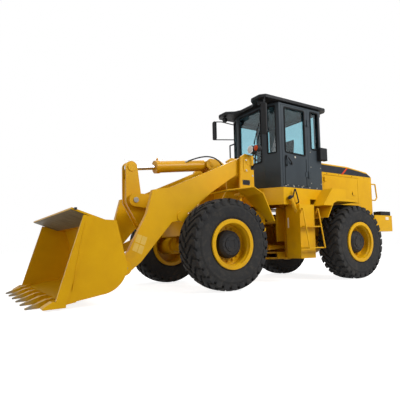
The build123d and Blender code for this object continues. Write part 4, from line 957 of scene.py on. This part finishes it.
def make_seat():
    """The driver's seat: a soft cushion and back on a bellows, with a lever box beside it."""
    bm = bmesh.new()
    cushion(bm, here(*SEAT_LOW), here(*SEAT_HIGH))
    cushion_piece = add("seat_cushion", bm, "seat", "rear_body", 60.0)
    bm = bmesh.new()
    cushion(bm, -Vector(BACK_SIZE), Vector(BACK_SIZE))
    place = Matrix.Translation(here(*BACK_PLACE)) @ Matrix.Rotation(math.radians(BACK_TURN), 4, "Y")
    bmesh.ops.transform(bm, matrix=place, verts=bm.verts)
    back = add("seat_back", bm, "seat", "rear_body", 60.0)
    bm = bmesh.new()
    for k in range(FOLDS):
        tuck = 0 if k % 2 else FOLD_TUCK
        z = FOLDS_FROM + k * FOLD_HEIGHT
        back_x, front_x, half = FOLD_X[0] + tuck, FOLD_X[1] - tuck, FOLD_HALF - tuck
        fold = ((back_x, -half), (front_x, -half), (front_x, half), (back_x, half))
        loop = [here(x, y, z) for x, y in fold]
        prism(bm, rounded(loop, 0.05), (0, 0, FOLD_HEIGHT * MM))
    for low, high in SEAT_BOXES:
        cuboid(bm, here(*low), here(*high))
    base = add("seat_base", bm, "black", "rear_body", 35.0, 0.003)
    bm = bmesh.new()
    for low, high in LEVER_BOXES:
        cuboid(bm, here(*low), here(*high))
    for x in LEVERS_X:
        turned(bm, here(x, LEVERS_Y, LEVERS_Z), (0.1, 0, 1), LEVER, 14)
    box = add("lever_box", bm, "black", "rear_body", 35.0, 0.006)
    for piece in (cushion_piece, back, base, box):
        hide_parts("seat")


# Hose

HOSE_R = 0.011
HOSE_SIDES = 14
HOSE_ROUTE = ((1560, 75, 2030), (1430, 120, 2085), (1300, 160, 2125), (1185, 200, 2135), (1090, 235, 2110),
              (1010, 260, 2050), (960, 275, 1960), (930, 285, 1860), (870, 290, 1762))
CYLINDER_NUT = [(-0.030, 0), (-0.030, 0.016), (0.0, 0.016), (0.006, 0.013), (0.022, 0.013), (0.022, 0.0)]
FRAME_NUT = [(-0.030, 0), (-0.030, 0.016), (0.0, 0.016), (0.006, 0.013), (0.030, 0.013), (0.030, 0.0)]


def route_points(name, route):
    """The points of a smooth line, read from a NURBS spline whose control points are the route."""
    curve = bpy.data.curves.new(name, "CURVE")
    curve.dimensions = "3D"
    spline = curve.splines.new("NURBS")
    spline.points.add(len(route) - 1)
    for point, co in zip(spline.points, route):
        point.co = (*co, 1.0)
    spline.order_u = 3
    spline.use_endpoint_u = True
    spline.resolution_u = 10
    holder = bpy.data.objects.new(name, curve)
    mesh = bpy.data.meshes.new_from_object(holder)
    points = [v.co.copy() for v in mesh.vertices]
    bpy.data.objects.remove(holder)
    return points


def make_hose():
    """The oil hose that hangs between the tilt cylinder and the front frame, with a nut at each end."""
    route = [here(*p) for p in HOSE_ROUTE]
    path = route_points("hose_route", route)
    bm = bmesh.new()
    up = Vector((0, 1, 0))
    rings = []
    for i, p in enumerate(path):
        way = (path[min(i + 1, len(path) - 1)] - path[max(i - 1, 0)]).normalized()
        side = way.cross(up).normalized()
        over = side.cross(way)
        turns = [2 * math.pi * k / HOSE_SIDES for k in range(HOSE_SIDES)]
        rings.append([bm.verts.new(p + (side * math.cos(t) + over * math.sin(t)) * HOSE_R) for t in turns])
    for a, b in zip(rings, rings[1:]):
        for k in range(HOSE_SIDES):
            after = (k + 1) % HOSE_SIDES
            bm.faces.new((a[k], a[after], b[after], b[k]))
    bm.faces.new(rings[0])
    bm.faces.new(rings[-1])
    piece = add("tilt_hose", bm, "hose", None, 60.0)
    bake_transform(piece)
    bm = bmesh.new()
    turned(bm, route[0], route[0] - route[1], CYLINDER_NUT, HEXAGON)
    add("hose_end_cylinder", bm, "zinc", "tilt_barrel", 30.0)
    bm = bmesh.new()
    turned(bm, route[-1], route[-1] - route[-2], FRAME_NUT, HEXAGON)
    add("hose_end_frame", bm, "zinc", "front_body", 30.0)


for end in ("front", "rear"):
    for hand in ("left", "right"):
        make_tyre(end, hand)
        make_rim_trim(end, hand)
hood_marks()
radiator_core()
window_rings()
door_trim("left", 1)
door_trim("right", -1)
wiper()
cab_trim()
lamp_lenses()
tower_plates()
arm_labels()
bucket_welds()
deck_trim()
make_seat()
make_hose()


# Stage, light and camera

SKY_LEVEL = 0.26
FLOOR_GLOW = 0.85
FLOOR_HALF = 60.0
# Camera: place in millimetres from the pivot, turns in radians, lens in millimetres
EYE = (4720.6, 5468.2, 652.4)
YAW, PITCH, ROLL = -2.13484, 0.07233, -0.0206956
LENS, SHIFT_Y = 34.70, 0.0446


def plainly_seen(tree):
    """One for rays from the camera, from a reflection or through glass, and zero for all others."""
    path = tree.nodes.new("ShaderNodeLightPath")
    seen = path.outputs["Is Camera Ray"]
    for kind in ("Is Glossy Ray", "Is Transmission Ray"):
        either = tree.nodes.new("ShaderNodeMath")
        either.operation = "MAXIMUM"
        tree.links.new(seen, either.inputs[0])
        tree.links.new(path.outputs[kind], either.inputs[1])
        seen = either.outputs[0]
    return seen


def make_stage():
    """A wide pale floor whose glow shows only to the camera, in reflections and through glass."""
    bm = bmesh.new()
    for a, b in CORNERS:
        bm.verts.new((a * FLOOR_HALF, b * FLOOR_HALF, 0.0))
    bm.faces.new(bm.verts)
    mesh = bpy.data.meshes.new("floor")
    bm.to_mesh(mesh)
    bm.free()
    floor = bpy.data.objects.new("floor", mesh)
    bpy.context.scene.collection.objects.link(floor)
    s = Shader("pale_floor")
    shade = s.mix(s.noise(0.6), (0.55, 0.55, 0.55, 1.0), (0.56, 0.56, 0.56, 1.0))
    s.link(shade, s.bsdf.inputs["Base Color"])
    s.bsdf.inputs["Roughness"].default_value = 0.9
    s.bsdf.inputs["Specular IOR Level"].default_value = 0.1
    s.bsdf.inputs["Emission Color"].default_value = (1.0, 1.0, 1.0, 1.0)
    s.link(s.maths(plainly_seen(s.tree), FLOOR_GLOW), s.bsdf.inputs["Emission Strength"])
    mesh.materials.append(s.material)


def make_world():
    """A white sky where it is seen, and a dimmer one as light."""
    world = bpy.data.worlds.new("studio")
    bpy.context.scene.world = world
    world.use_nodes = True
    tree = world.node_tree
    back = tree.nodes["Background"]
    level = tree.nodes.new("ShaderNodeMapRange")
    level.inputs["To Min"].default_value = SKY_LEVEL
    level.inputs["To Max"].default_value = 1.0
    tree.links.new(plainly_seen(tree), level.inputs["Value"])
    back.inputs["Color"].default_value = (1, 1, 1, 1)
    tree.links.new(level.outputs["Result"], back.inputs["Strength"])


def make_light(name, place, aim, size, power):
    """A round studio lamp that the camera doesn't see, straight or through glass."""
    data = bpy.data.lights.new(name, "AREA")
    data.shape = "DISK"
    data.size = size
    data.energy = power
    lamp = bpy.data.objects.new(name, data)
    lamp.location = place
    lamp.visible_camera = False
    lamp.visible_transmission = False
    lamp.rotation_euler = (Vector(aim) - Vector(place)).to_track_quat("-Z", "Y").to_euler()
    bpy.context.scene.collection.objects.link(lamp)


def make_camera():
    """The camera that the photograph was taken with, worked out from its wheels."""
    forward = Vector((math.cos(PITCH) * math.cos(YAW), math.cos(PITCH) * math.sin(YAW), math.sin(PITCH)))
    right = forward.cross(Vector((0, 0, 1))).normalized()
    up = right.cross(forward)
    right, up = (right * math.cos(ROLL) + up * math.sin(ROLL), up * math.cos(ROLL) - right * math.sin(ROLL))
    data = bpy.data.cameras.new("camera")
    data.lens = LENS
    data.shift_y = SHIFT_Y
    data.clip_end = 200.0
    camera = bpy.data.objects.new("camera", data)
    turn = Matrix((right, up, -forward)).transposed().to_4x4()
    camera.matrix_world = Matrix.Translation(here(*EYE)) @ turn
    bpy.context.scene.collection.objects.link(camera)
    bpy.context.scene.camera = camera


make_stage()
make_world()
# Place and aim, size and power, in metres and watts
make_light("key", (-3.5, 8.0, 6.5), (-0.3, 0.0, 1.2), 5.0, 760.0)
make_light("top", (0.5, 1.0, 10.0), (0.0, 0.0, 1.0), 6.0, 350.0)
make_light("front", (9.0, 3.0, 4.0), (1.5, 0.0, 1.0), 5.0, 150.0)
make_light("back", (-6.0, -8.0, 6.0), (0.0, 0.0, 1.2), 5.0, 320.0)
make_camera()
bpy.context.scene.view_settings.view_transform = "Standard"
